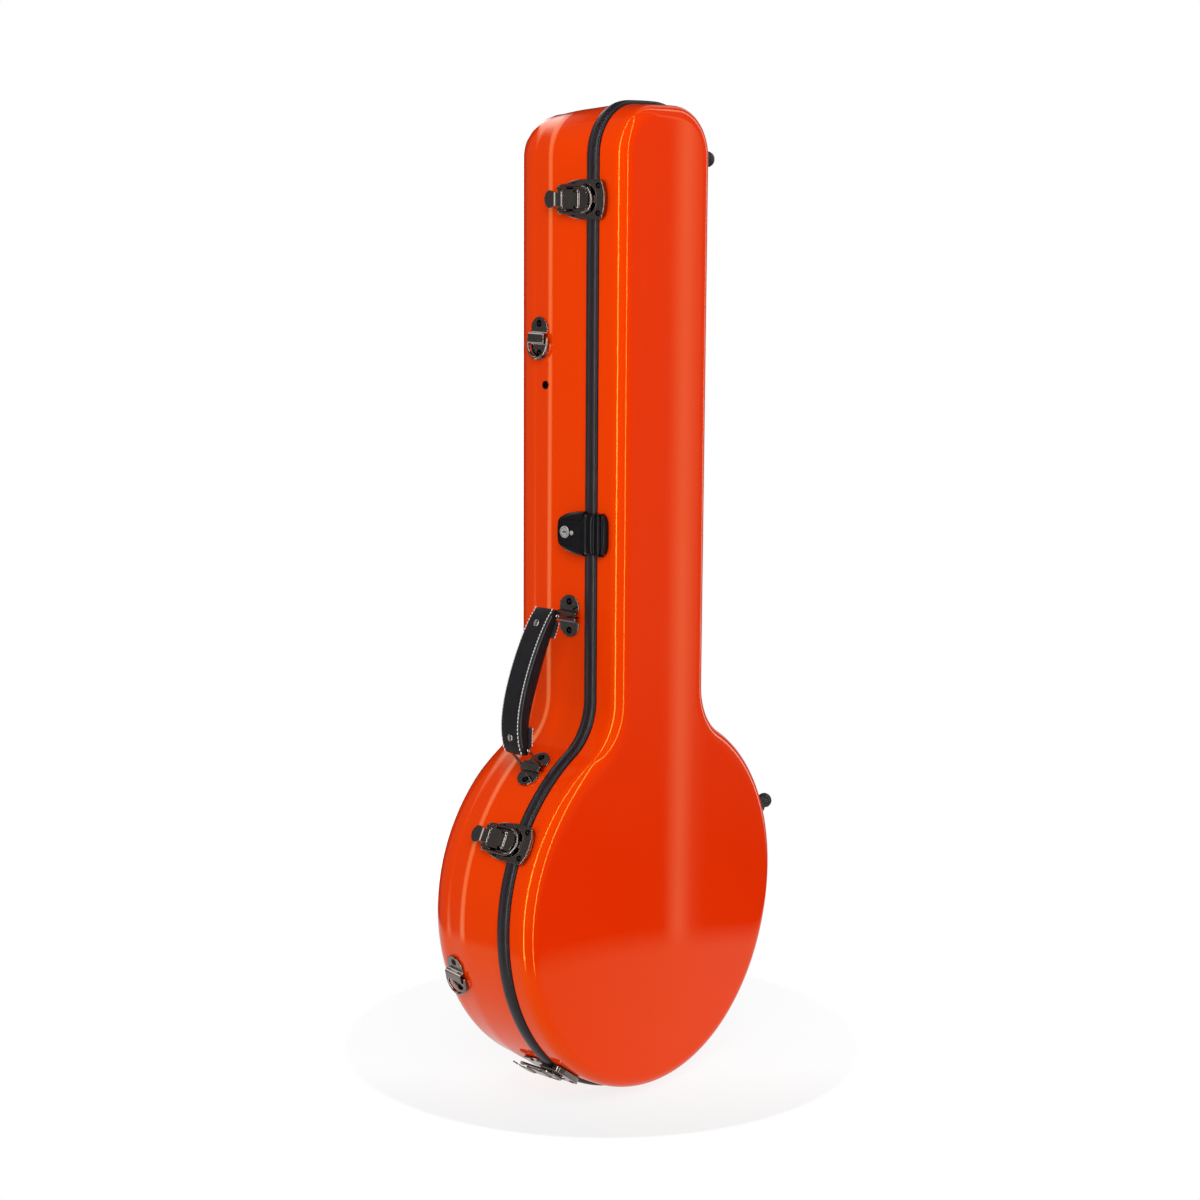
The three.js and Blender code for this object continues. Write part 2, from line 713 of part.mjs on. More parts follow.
function lockBody() {
  const half = lockWidth / 2 - lockBevel;
  const v0 = -lockBodyEnd - lockBodyLength + lockBevel;
  const v1 = -lockBodyEnd - lockBevel;
  const shape = new THREE.Shape();
  shape.moveTo(-half, v1);
  shape.quadraticCurveTo(-half, -lockSideDrop, -lockTailHalfWidth, v0);
  shape.lineTo(lockTailHalfWidth, v0);
  shape.quadraticCurveTo(half, -lockSideDrop, half, v1);
  const body = new THREE.ExtrudeGeometry(shape, {
    depth: lockThickness - lockBevel, curveSegments: 6,
    bevelEnabled: true, bevelSize: lockBevel, bevelThickness: lockBevel, bevelSegments: 2,
  });
  const whole = toSolid(moved(body, 0, 0, seatGap));
  const base = slab(-lockWidth, lockWidth, -lockWidth - lockBodyLength, lockWidth, seatGap, lockTop + overrun);
  const panelHalf = lockWidth / 2 - lockPanelInset;
  const panel = roundedBox(-panelHalf, panelHalf, -lockBodyEnd - lockBodyLength + lockBevel,
    -lockBodyEnd - lockBevel, lockBevel / 2);
  const sealWay = slab(-lockWidth, lockWidth, latchBaseTop + latchPlateSetback / 2, lockWidth, -overrun,
    sealProud + seatGap);
  return whole.intersect(base)
    .subtract(plate(panel, lockFace, lockTop + overrun, 2))
    .subtract(sealWay)
    .subtract(bar('z', keyRadius + seatGap, 2 * keySocketDepth, 0, -keyDrop, lockTop, roundSideCount + 4))
    .subtract(bar('z', lockButtonRadius + seatGap, 2 * keySocketDepth, 0, -lockButtonDrop, lockTop));
}

function lockKey() {
  const bottom = lockTop - keySocketDepth + seatGap;
  const top = lockFace + keyProud;
  const disc = bar('z', keyRadius, top - bottom, 0, -keyDrop, (top + bottom) / 2, roundSideCount + 4);
  const slot = slab(-keySlotWidth / 2, keySlotWidth / 2, -keyDrop - keySlotLength / 2,
    -keyDrop + keySlotLength / 2, top - keySlotDepth, top + overrun);
  return disc.subtract(slot);
}

function lockButton() {
  const top = lockFace + lockButtonTravel;
  return bar('z', lockButtonRadius, lockButtonDepth, 0, -lockButtonDrop, top - lockButtonDepth / 2);
}

// Extrudes a profile drawn in the (up, out) plane along the wall, to both sides of the middle.
function alongWall(profile, halfWidth) {
  const body = new THREE.ExtrudeGeometry(profile, { depth: 2 * halfWidth, bevelEnabled: false, curveSegments: 8 });
  const turn = new THREE.Matrix4().makeBasis(
    new THREE.Vector3(0, 1, 0), new THREE.Vector3(0, 0, 1), new THREE.Vector3(1, 0, 0),
  );
  body.applyMatrix4(turn);
  return toSolid(moved(body, -halfWidth, 0, 0));
}

// The hasp is a curved grip that bridges the seam and turns on a pin in the strike's ears.
function lockHasp() {
  const v0 = -lockBodyEnd + seatGap;
  const v1 = v0 + haspLength;
  const low = sealProud + 2 * seatGap;
  const profile = new THREE.Shape();
  profile.moveTo(v0, low);
  profile.lineTo(v1, low);
  profile.lineTo(v1, haspPivotRise + haspBarrelRadius);
  profile.quadraticCurveTo((v0 + v1) / 2, haspRise, v0, lockFace);
  const barrelHalf = haspEarInset - seatGap;
  const pinHalf = haspEarInset + haspEarThickness;
  return joinAll([
    alongWall(profile, haspHalfWidth),
    slab(-barrelHalf, barrelHalf, v1 - seatGap, haspPivotAbove, haspPivotRise - haspBarrelRadius, haspPivotRise),
    bar('x', haspBarrelRadius, 2 * barrelHalf, 0, haspPivotAbove, haspPivotRise),
    bar('x', haspPinRadius, 2 * pinHalf, 0, haspPivotAbove, haspPivotRise),
  ]);
}

function lockStrike() {
  const start = haspPivotAbove + haspBarrelRadius + seatGap;
  const parts = [slab(-haspHalfWidth, haspHalfWidth, start, strikeEnd, seatGap, strikeRise)];
  for (const side of [-1, 1]) {
    const u0 = side > 0 ? haspEarInset : -haspEarInset - haspEarThickness;
    const middle = u0 + haspEarThickness / 2;
    parts.push(bar('x', haspBarrelRadius, haspEarThickness, middle, haspPivotAbove, haspPivotRise));
    parts.push(slab(u0, u0 + haspEarThickness, haspPivotAbove - haspBarrelRadius, start + seatGap,
      seatGap, haspPivotRise));
  }
  const ribGap = (strikeEnd - start) / 3;
  for (const k of [1, 2]) {
    parts.push(bar('x', strikeRibHeight, 2 * haspHalfWidth - overrun, 0, start + k * ribGap, strikeRise, wireSideCount));
  }
  const bore = bar('x', haspPinRadius + seatGap, lockWidth, 0, haspPivotAbove, haspPivotRise);
  return joinAll(parts).subtract(bore);
}

// A bracket with two screwed lobes and a raised saddle whose tunnel holds a wire.
function strapBracket() {
  const lobe = bracketWidth / 2;
  const reach = bracketLength / 2 - lobe;
  const waist = bracketWaistWidth / 2;
  const shape = new THREE.Shape();
  const dip = Math.asin(waist / lobe);
  shape.absarc(reach, 0, lobe, -Math.PI + dip, Math.PI - dip);
  shape.absarc(-reach, 0, lobe, dip, 2 * Math.PI - dip);
  const saddle = bar('y', saddleOuterRadius, bracketWidth, 0, 0, wireAxisRise);
  const body = joinAll([
    plate(shape, seatGap, seatGap + bracketThickness, 5),
    saddle,
    screwHead(-bracketScrewSpread, 0, seatGap + bracketThickness),
    screwHead(bracketScrewSpread, 0, seatGap + bracketThickness),
  ]);
  const above = slab(-bracketLength, bracketLength, -bracketLength, bracketLength, seatGap, bracketLength);
  const tunnel = bar('y', wireRadius + wireClearance, bracketLength, 0, 0, wireAxisRise);
  return body.intersect(above).subtract(tunnel);
}

// A wire ring with a straight bar on its own turning axis, which is the y axis here.
function wireRing(halfWidth, legLength) {
  const loop = wireLoop(halfWidth, 0, legLength, wireRadius, 0, ringSegmentCount);
  loop.rotateZ(-Math.PI / 2);
  const straight = bar('y', wireRadius, 2 * (halfWidth + wireRadius), 0, 0, 0, wireSideCount * 2);
  return toSolid(loop).add(straight);
}

// Handle loops are rectangular wires: one bar turns in the bracket, the other in the grip's end.
function handleLoop() {
  const legs = [-1, 1].map((side) => bar('x', wireRadius, loopLength, loopLength / 2, side * loopHalfWidth, 0, 8));
  const bars = [0, loopLength].map((x) => bar('y', wireRadius, 2 * (loopHalfWidth + wireRadius), x, 0, 0, 8));
  return joinAll([...legs, ...bars]);
}

// The handle lies in one plane; its grip bows out between the two loop ends.
const upperBracket = neckPlace(headReach - handleFromBay, -1);
const lowerBracket = bulbPlace(lowerBracketAngle, -1);
const handleHeight = seamHeight - handleDrop;
const pinOf = (place) => new THREE.Vector2(place.x + place.nx * wireAxisRise, place.y + place.ny * wireAxisRise);
const upperPin = pinOf(upperBracket);
const lowerPin = pinOf(lowerBracket);
function loopReach(degrees) {
  const turn = THREE.MathUtils.degToRad(degrees);
  return new THREE.Vector2(-Math.sin(turn), -Math.cos(turn)).multiplyScalar(loopLength);
}
const upperReach = loopReach(upperLoopAngle);
const lowerReach = loopReach(lowerLoopAngle);
const gripStart = upperPin.clone().add(upperReach);
const gripEnd = lowerPin.clone().add(lowerReach);

// Centre line of the grip: share 0 is its upper end and 1 its lower end.
function gripLine(share) {
  const along = gripEnd.clone().sub(gripStart);
  const out = new THREE.Vector2(along.y, -along.x).normalize();
  const bow = 4 * gripBow * share * (1 - share);
  const point = gripStart.clone().addScaledVector(along, share).addScaledVector(out, bow);
  const slope = along.clone().addScaledVector(out, 4 * gripBow * (1 - 2 * share)).normalize();
  return { point, slope, out: new THREE.Vector2(slope.y, -slope.x) };
}

function gripThickness(share) {
  return gripEndThickness + (gripMiddleThickness - gripEndThickness) * Math.sin(Math.PI * share) ** 0.8;
}

function handleGrip() {
  const points = [];
  const triangles = [];
  for (let i = 0; i <= gripSectionCount; i += 1) {
    const { point, out } = gripLine(i / gripSectionCount);
    for (let j = 0; j < gripSideCount; j += 1) {
      const t = (2 * Math.PI * j) / gripSideCount;
      const side = Math.sign(Math.cos(t)) * Math.abs(Math.cos(t)) ** gripSectionPower * (gripWidth / 2);
      const deep = Math.sign(Math.sin(t)) * Math.abs(Math.sin(t)) ** gripSectionPower;
      const spot = point.clone().addScaledVector(out, (deep * gripThickness(i / gripSectionCount)) / 2);
      points.push(new THREE.Vector3(spot.x, spot.y, handleHeight + side));
    }
  }
  for (let i = 0; i < gripSectionCount; i += 1) {
    for (let j = 0; j < gripSideCount; j += 1) {
      const n = (j + 1) % gripSideCount;
      const a = i * gripSideCount;
      const b = a + gripSideCount;
      triangles.push([a + j, a + n, b + n], [a + j, b + n, b + j]);
    }
  }
  for (let j = 1; j < gripSideCount - 1; j += 1) {
    triangles.push([0, j + 1, j], [gripSectionCount * gripSideCount, gripSectionCount * gripSideCount + j, gripSectionCount * gripSideCount + j + 1]);
  }
  const ends = [gripStart, gripEnd].map((p) => bar('z', gripEndRadius, gripWidth, p.x, p.y, handleHeight));
  // The lower bore is wider, because the wire shifts in it a little as the handle swings.
  const bores = [[gripStart, wireClearance], [gripEnd, lowerBoreSlack]].map(([p, slack]) => (
    bar('z', wireRadius + slack, 2 * gripWidth, p.x, p.y, handleHeight)));
  return joinAll([toSolid(closedMesh(points, triangles)), ...ends]).subtract(joinAll(bores));
}

function gripRivetFrame(share) {
  const { point, slope, out } = gripLine(share);
  const spot = point.clone().addScaledVector(out, gripThickness(share) / 2 + seatGap);
  const basis = new THREE.Matrix4().makeBasis(
    new THREE.Vector3(slope.x, slope.y, 0), new THREE.Vector3(0, 0, -1), new THREE.Vector3(out.x, out.y, 0),
  );
  return basis.setPosition(spot.x, spot.y, handleHeight);
}

function dome(radius, height, domeShare, sides) {
  const straight = height * (1 - domeShare);
  const profile = [new THREE.Vector2(0, 0), new THREE.Vector2(radius, 0), new THREE.Vector2(radius, straight)];
  for (let i = 1; i <= 3; i += 1) {
    const t = (Math.PI / 2) * (i / 4);
    profile.push(new THREE.Vector2(radius * Math.cos(t), straight + height * domeShare * Math.sin(t)));
  }
  profile.push(new THREE.Vector2(0, height));
  const geometry = new THREE.LatheGeometry(profile, sides);
  geometry.rotateX(Math.PI / 2);
  return toSolid(geometry);
}

// A rubber foot on the wall, its base cut to the shell that carries it.
function foot(place, height, form) {
  const root = footRadius;
  const body = dome(footRadius, footHeight + root, footDomeShare, roundSideCount + 2);
  const standing = body.translate([0, 0, -root]).transform(wallFrame(place, height).elements);
  return standing.subtract(form);
}

// The outside of each shell, grown by a distance: what is screwed on is cut to it.
function backForm(grow) {
  return toSolid(loft(backRings(backRim, -grow).reverse(), {
    firstColumns: 2, firstHeight: level(-grow), lastColumns: 2, lastHeight: level(backRim),
  }));
}

function lidForm(grow) {
  return toSolid(loft(lidRings(lidRim, -grow), {
    firstColumns: crownColumnCount, firstHeight: level(lidRim),
    lastColumns: crownColumnCount, lastHeight: (y) => lidTopAt(y) + grow,
  }));
}

const backOutside = backForm(seatGap);
const lidOutside = lidForm(seatGap);
const backLeafRoom = backForm(seatGap + hingeLeafThickness);
const lidLeafRoom = lidForm(seatGap + hingeLeafThickness);

// Both hinges turn on the line that touches the head corner and the round end from outside.
const headCorner = new THREE.Vector2(cornerCentreX, cornerCentreY);
const hingeTurn = Math.atan2(headCorner.y, headCorner.x)
  - Math.acos((bulbHalfWidth - headCornerRadius) / headCorner.length());
const hingeOut = new THREE.Vector2(Math.cos(hingeTurn), Math.sin(hingeTurn));
const hingeAlong = new THREE.Vector2(-hingeOut.y, hingeOut.x);
const hingeStand = bulbHalfWidth + sealProud + hingeClearance + hingeKnuckleRadius;
const neckHingeAt = headCorner.dot(hingeAlong) - neckHingeBack;
const knuckleHalf = (hingeLength * knuckleShare) / 2;

function hingeFrame(alongLine) {
  const spot = hingeOut.clone().multiplyScalar(hingeStand).addScaledVector(hingeAlong, alongLine);
  const basis = new THREE.Matrix4().makeBasis(
    new THREE.Vector3(hingeAlong.x, hingeAlong.y, 0), new THREE.Vector3(0, 0, 1),
    new THREE.Vector3(hingeOut.x, hingeOut.y, 0),
  );
  return basis.setPosition(spot.x, spot.y, seamHeight);
}

// A leaf lies on its shell; arms carry its knuckles past the seal to the hinge line.
function hingeLeaf(alongLine, side, spans, outside, leafRoom) {
  const frame = hingeFrame(alongLine).elements;
  const inner = -hingeLength / 2;
  const heights = (low, high) => (side > 0 ? [low, high] : [-high, -low]);
  const block = (u0, u1, [v0, v1], w0, w1) => slab(u0, u1, v0, v1, w0, w1).transform(frame);
  const leafEnd = hingeLeafStart + hingeLeafHeight;
  const armEnd = hingeLeafStart + hingeArmThickness;
  const half = hingeLength / 2;
  const parts = [block(-half, half, heights(hingeLeafStart, leafEnd), inner, 0).intersect(leafRoom)];
  for (const [u0, u1] of spans) {
    const knuckle = bar('x', hingeKnuckleRadius, u1 - u0, (u0 + u1) / 2, 0, 0).transform(frame);
    parts.push(block(u0, u1, heights(hingeLeafStart, armEnd), inner, hingeArmThickness));
    parts.push(block(u0, u1, heights(0, armEnd), -hingeArmThickness, hingeArmThickness));
    parts.push(knuckle);
  }
  const bore = bar('x', hingePinRadius + seatGap, 2 * hingeLength, 0, 0, 0).transform(frame);
  return joinAll(parts).subtract(outside).subtract(bore);
}

const lidSpans = [[-knuckleHalf + seatGap / 2, knuckleHalf - seatGap / 2]];
const backSpans = [
  [-hingeLength / 2, -knuckleHalf - seatGap / 2],
  [knuckleHalf + seatGap / 2, hingeLength / 2],
];

function hingePin() {
  return bar('x', hingePinRadius, hingeLength + hingePinRadius, 0, 0, 0);
}

// The assembly
const assembly = new THREE.Group();
assembly.name = 'banjo_case';

function addPiece(name, shape, look, matrix = null) {
  const geometry = shape.isBufferGeometry ? shape : toGeometry(shape);
  const mesh = new THREE.Mesh(geometry, new THREE.MeshStandardMaterial(look));
  mesh.name = name;
  if (matrix) matrix.decompose(mesh.position, mesh.quaternion, mesh.scale);
  assembly.add(mesh);
}

addPiece('back_shell', backShell(), lacquer);
addPiece('lid_shell', lidShell(), lacquer);
addPiece('rim_seal', rimSeal(), rubber);
addPiece('back_liner', backLiner(), plush);
addPiece('lid_liner', lidLiner(), plush);
addPiece('pot_floor_pad', potFloorPad(), plush);
addPiece('pot_ring_pad', potRingPad(), plush);
addPiece('neck_floor_pad', neckFloorPad(), plush);
addPiece('neck_cradle', neckCradle(), plush);
addPiece('accessory_box', accessoryBox(), plush);
addPiece('accessory_lid', accessoryLid(), plush);
addPiece('accessory_pull', accessoryPull(), leather);

const cradleScrewFrame = wallFrame(neckPlace(cradleFromHead + cradleLength / 2, -1), seamHeight - cradleScrewDrop);
addPiece('cradle_screw', dome(cradleScrewRadius, cradleScrewHeight, 1 / 2, roundSideCount).translate([0, 0, seatGap]),
  blackMetal, cradleScrewFrame);

const latchPlaces = [
  neckPlace(latchFromHead, -1),
  bulbPlace(shoulderLatchAngle, -1),
  bulbPlace(toeLatchAngle, -1),
];
latchPlaces.forEach((place, i) => {
  const frame = wallFrame(place, seamHeight);
  addPiece(`latch_${i + 1}_base`, latchBase(), blackMetal, frame);
  addPiece(`latch_${i + 1}_lever`, latchLever(), blackMetal, frame);
  addPiece(`latch_${i + 1}_bail`, latchBail(), blackMetal, frame);
  addPiece(`latch_${i + 1}_catch`, latchCatch(), blackMetal, frame);
});

const lockFrame = wallFrame(neckPlace(headReach - lockFromBay, -1), seamHeight);
addPiece('lock_body', lockBody(), lockPlastic, lockFrame);
addPiece('lock_key_cylinder', lockKey(), keyMetal, lockFrame);
addPiece('lock_button', lockButton(), keyMetal, lockFrame);
addPiece('lock_hasp', lockHasp(), lockPlastic, lockFrame);
addPiece('lock_strike', lockStrike(), lockPlastic, lockFrame);

function loopFrame(pin, reach) {
  const out = reach.clone().normalize();
  const basis = new THREE.Matrix4().makeBasis(
    new THREE.Vector3(out.x, out.y, 0), new THREE.Vector3(0, 0, 1), new THREE.Vector3(out.y, -out.x, 0),
  );
  return basis.setPosition(pin.x, pin.y, handleHeight);
}

addPiece('handle_bracket_upper', strapBracket(), blackMetal, wallFrame(upperBracket, handleHeight));
addPiece('handle_bracket_lower', strapBracket(), blackMetal, wallFrame(lowerBracket, handleHeight));
addPiece('handle_loop_upper', handleLoop(), blackMetal, loopFrame(upperPin, upperReach));
addPiece('handle_loop_lower', handleLoop(), blackMetal, loopFrame(lowerPin, lowerReach));
addPiece('handle_grip', handleGrip(), leather);
const rivet = dome(rivetRadius, rivetHeight, 1 / 2, roundSideCount);
addPiece('grip_rivet_upper', rivet, keyMetal, gripRivetFrame(gripRivetShare));
addPiece('grip_rivet_lower', rivet, keyMetal, gripRivetFrame(1 - gripRivetShare));

const strapPlaces = [
  [neckPlace(strapFromHead, -1), seamHeight - strapRingDrop],
  [bulbPlace(toeStrapAngle, -1), seamHeight - toeStrapDrop],
];
strapPlaces.forEach(([place, height], i) => {
  const frame = wallFrame(place, height);
  const tilt = new THREE.Matrix4().makeRotationY(-THREE.MathUtils.degToRad(ringRestTilt));
  const ringFrame = frame.clone().multiply(new THREE.Matrix4().makeTranslation(0, 0, wireAxisRise)).multiply(tilt);
  addPiece(`strap_bracket_${i + 1}`, strapBracket(), blackMetal, frame);
  addPiece(`strap_ring_${i + 1}`, wireRing(ringHalfWidth, ringLegLength), blackMetal, ringFrame);
});

const footPlaces = { head: neckPlace(headFootFromHead, 1), bulb: bulbPlace(bulbFootAngle, 1) };
for (const [spot, place] of Object.entries(footPlaces)) {
  addPiece(`lid_foot_${spot}`, foot(place, seamHeight + footRise, lidOutside), rubber);
  addPiece(`back_foot_${spot}`, foot(place, seamHeight - footRise, backOutside), rubber);
}

const hingePlaces = { neck: neckHingeAt, bulb: 0 };
for (const [spot, alongLine] of Object.entries(hingePlaces)) {
  addPiece(`hinge_${spot}_back_leaf`, hingeLeaf(alongLine, -1, backSpans, backOutside, backLeafRoom), blackMetal);
  addPiece(`hinge_${spot}_lid_leaf`, hingeLeaf(alongLine, 1, lidSpans, lidOutside, lidLeafRoom), blackMetal);
  addPiece(`hinge_${spot}_pin`, hingePin(), blackMetal, hingeFrame(alongLine));
}

export default assembly;
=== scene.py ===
# Banjo case, dressed for rendering. Shapes are written in millimetres and placed in metres.
import math

import bmesh
import bpy
from mathutils import Matrix, Vector


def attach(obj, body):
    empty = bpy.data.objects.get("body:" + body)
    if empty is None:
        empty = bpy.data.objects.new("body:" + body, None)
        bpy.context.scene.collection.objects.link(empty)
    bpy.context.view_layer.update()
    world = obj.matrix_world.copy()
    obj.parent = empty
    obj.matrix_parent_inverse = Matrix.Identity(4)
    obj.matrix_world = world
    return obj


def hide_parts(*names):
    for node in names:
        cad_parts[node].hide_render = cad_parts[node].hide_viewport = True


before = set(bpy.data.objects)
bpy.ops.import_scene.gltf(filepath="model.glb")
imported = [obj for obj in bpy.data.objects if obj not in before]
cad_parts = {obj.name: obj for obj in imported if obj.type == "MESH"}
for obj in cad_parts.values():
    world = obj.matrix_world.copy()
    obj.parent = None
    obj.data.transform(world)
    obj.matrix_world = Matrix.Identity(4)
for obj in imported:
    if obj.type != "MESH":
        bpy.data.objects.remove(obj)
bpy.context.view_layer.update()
print("case: frame loaded")

# The case itself. Its outline is drawn for one half and mirrored.
case = {
    "length": 1060, "toe": 208, "bulb": 203, "neck": 72, "corner": 54, "endRadius": 600, "shoulder": 65,
    "seam": 128, "lidRise": 42, "crown": 2600, "lidEdge": 15, "lidTaper": 1, "backEdge": 42, "backTaper": 3.6,
    "crease": 67, "creaseSoft": 6, "headLean": 4.5, "headZone": -700, "wall": 3, "liner": 3, "gap": 0.3,
    "seal": 16, "sealProud": 4, "sealDepth": 4.5,
}
outlineSteps = {"end": 5, "corner": 18, "neck": 14, "shoulder": 14, "bulb": 26, "toe": 40}
headReach = case["length"] - case["toe"]
rimDrop = case["seal"] / 2 + case["gap"]
rimTop = case["seam"] - rimDrop


def arcStations(cx, cy, rx, ry, start, end, steps, inward=1):
    stations = []
    for i in range(1, steps + 1):
        t = start + (end - start) * i / steps
        n = Vector((ry * math.cos(t), rx * math.sin(t))).normalized() * inward
        stations.append((cx + rx * math.cos(t), cy + ry * math.sin(t), n.x, n.y))
    return stations


def caseOutline():
    cornerY = case["neck"] - case["corner"]
    endX = case["endRadius"] - headReach
    cornerX = endX - math.sqrt((case["endRadius"] - case["corner"]) ** 2 - cornerY ** 2)
    shoulderY = case["neck"] + case["shoulder"]
    shoulderX = -math.sqrt((case["bulb"] + case["shoulder"]) ** 2 - shoulderY ** 2)
    endTurn = math.atan2(cornerY, cornerX - endX)
    turn = math.atan2(shoulderY, shoulderX)
    half = [(-headReach, 0, -1, 0)]
    half += arcStations(endX, 0, case["endRadius"], case["endRadius"], math.pi, endTurn,
                        outlineSteps["end"])
    half += arcStations(cornerX, cornerY, case["corner"], case["corner"], endTurn, math.pi / 2,
                        outlineSteps["corner"])
    neckSteps = outlineSteps["neck"]
    half += [(cornerX + (shoulderX - cornerX) * i / neckSteps, case["neck"], 0, 1) for i in range(1, neckSteps + 1)]
    half += arcStations(shoulderX, shoulderY, case["shoulder"], case["shoulder"], -math.pi / 2, turn - math.pi,
                        outlineSteps["shoulder"], -1)
    half += arcStations(0, 0, case["bulb"], case["bulb"], turn, math.pi / 2, outlineSteps["bulb"])
    half += arcStations(0, 0, case["toe"], case["bulb"], math.pi / 2, 0, outlineSteps["toe"])
    x, y, nx, ny = half[-1]
    half[-1] = (x, 0, nx, 0)
    return half, half + [(x, -y, nx, -ny) for x, y, nx, ny in half[-2:0:-1]]


halfOutline, outline = caseOutline()


def lidTop(y):
    return case["seam"] + case["lidRise"] - y * y / (2 * case["crown"])


# How far the back shell's wall stands in from the outline at a height.
def backInset(z, depth=0):
    edge, taper, soft = case["backEdge"], case["backTaper"], case["creaseSoft"]
    slope = taper / (case["crease"] - edge)
    radius = edge - depth
    if z < edge:
        turn = math.asin(min(1, max(0, (edge - z) / radius)))
        return taper + edge - radius * math.cos(turn)
    under = case["crease"] - z
    if under > soft:
        return depth + slope * under
    if under > -soft:
        return depth + slope * (under + soft) ** 2 / (4 * soft)
    return depth


# The back shell's head end leans in a little more than its sides.
def headLean(x, nx, z):
    if x > case["headZone"] or nx > 0 or z > rimTop:
        return 0
    return case["headLean"] * nx * nx * min(1, (rimTop - z) / (rimTop - case["crease"]))


def ring(inset, heightAt):
    points = []
    for x, y, nx, ny in outline:
        py = y - ny * inset
        z = heightAt(py)
        reach = inset + headLean(x, nx, z)
        points.append((x - nx * reach, y - ny * reach, z))
    return points


def addObject(name, data):
    piece = bpy.data.objects.new(name, data)
    bpy.context.scene.collection.objects.link(piece)
    return piece


# Smooth shading, with sharp edges where faces meet at more than this angle.
def smoothUpTo(mesh, degrees):
    mesh.shade_smooth()
    mesh.set_sharp_from_angle(angle=math.radians(degrees))


def finishMesh(piece, sharp=35, merge=0.0005):
    mesh = piece.data
    bm = bmesh.new()
    bm.from_mesh(mesh)
    bmesh.ops.remove_doubles(bm, verts=bm.verts, dist=merge)
    bmesh.ops.dissolve_degenerate(bm, edges=bm.edges, dist=merge / 10)
    bmesh.ops.recalc_face_normals(bm, faces=bm.faces)
    bm.to_mesh(mesh)
    bm.free()
    smoothUpTo(mesh, sharp)
    return piece


millimetre = 0.001


# Moves a mesh that was drawn in millimetres to its place in metres.
def place(piece, spot=None):
    scale = Matrix.Scale(millimetre, 4)
    piece.data.transform(scale @ spot if spot else scale)
    return piece


def newPiece(name, verts, faces, spot=None, sharp=35):
    mesh = bpy.data.meshes.new(name)
    mesh.from_pydata([tuple(v) for v in verts], [], faces)
    return place(finishMesh(addObject(name, mesh), sharp), spot)


def curveMesh(name, curve):
    holder = addObject(name + ".curve", curve)
    bpy.context.view_layer.update()
    shape = holder.evaluated_get(bpy.context.evaluated_depsgraph_get())
    mesh = bpy.data.meshes.new_from_object(shape)
    bpy.data.objects.remove(holder)
    bpy.data.curves.remove(curve)
    mesh.name = name
    return addObject(name, mesh)


# A flat outline made solid, with rounded rims.
def platePiece(name, shape, low, high, spot=None, bevel=0.4, holes=(), steps=2):
    curve = bpy.data.curves.new(name, "CURVE")
    curve.dimensions = "2D"
    curve.fill_mode = "BOTH"
    for loop in [shape, *holes]:
        spline = curve.splines.new("POLY")
        spline.points.add(len(loop) - 1)
        for point, (u, v) in zip(spline.points, loop):
            point.co = (u, v, 0, 1)
        spline.use_cyclic_u = True
    curve.extrude = (high - low) / 2 - bevel
    curve.bevel_depth = bevel
    curve.bevel_resolution = steps
    curve.offset = -bevel
    piece = curveMesh(name, curve)
    piece.data.transform(Matrix.Translation((0, 0, (low + high) / 2)))
    return place(finishMesh(piece), spot)


def wirePiece(name, points, radius, spot=None, closed=False, sides=5):
    curve = bpy.data.curves.new(name, "CURVE")
    curve.dimensions = "3D"
    spline = curve.splines.new("POLY")
    spline.points.add(len(points) - 1)
    for point, co in zip(spline.points, points):
        point.co = (*co, 1)
    spline.use_cyclic_u = closed
    curve.bevel_depth = radius
    curve.bevel_resolution = sides
    curve.use_fill_caps = not closed
    return place(finishMesh(curveMesh(name, curve), 60), spot)


def skinRings(rings, closedRing=True, capped=True):
    count = len(rings[0])
    verts = [p for r in rings for p in r]
    faces = []
    for r in range(len(rings) - 1):
        for k in range(count if closedRing else count - 1):
            n = (k + 1) % count
            faces.append((r * count + k, r * count + n, (r + 1) * count + n, (r + 1) * count + k))
    if capped:
        faces.append(tuple(range(count))[::-1])
        faces.append(tuple((len(rings) - 1) * count + k for k in range(count)))
    return verts, faces


axis = 0.001  # the radius at which a turned profile starts and ends


def lathePiece(name, profile, spot=None, centre=(0, 0), sides=36, sharp=35):
    rings = []
    for radius, w in profile:
        rings.append([(centre[0] + radius * math.cos(2 * math.pi * k / sides),
                       centre[1] + radius * math.sin(2 * math.pi * k / sides), w) for k in range(sides)])
    verts, faces = skinRings(rings)
    return newPiece(name, verts, faces, spot, sharp)


# A strip bent along a path of (along, out, half width), lying across the path.
def ribbonPiece(name, path, thickness, spot=None, corner=0.45, sharp=35):
    rings = []
    for i, (a, w, half) in enumerate(path):
        a0, w0, _ = path[max(i - 1, 0)]
        a1, w1, _ = path[min(i + 1, len(path) - 1)]
        slope = Vector((a1 - a0, w1 - w0)).normalized()
        up = Vector((-slope.y, slope.x))
        t, h = thickness / 2, max(half, 0.05)
        c = min(corner, t * 0.9, h * 0.9)
        section = []
        for sx, sy, start in ((1, 1, 0), (-1, 1, 90), (-1, -1, 180), (1, -1, 270)):
            for turn in (0, 30, 60, 90):
                angle = math.radians(start + turn)
                section.append((sx * (h - c) + c * math.cos(angle), sy * (t - c) + c * math.sin(angle)))
        rings.append([(a + up.x * d, s, w + up.y * d) for s, d in section])
    verts, faces = skinRings(rings)
    return newPiece(name, verts, faces, spot, sharp)


def joinPieces(name, parts):
    bm = bmesh.new()
    for part in parts:
        bm.from_mesh(part.data)
    mesh = bpy.data.meshes.new(name)
    bm.to_mesh(mesh)
    bm.free()
    for part in parts:
        bpy.data.meshes.remove(part.data)
    smoothUpTo(mesh, 35)
    return addObject(name, mesh)


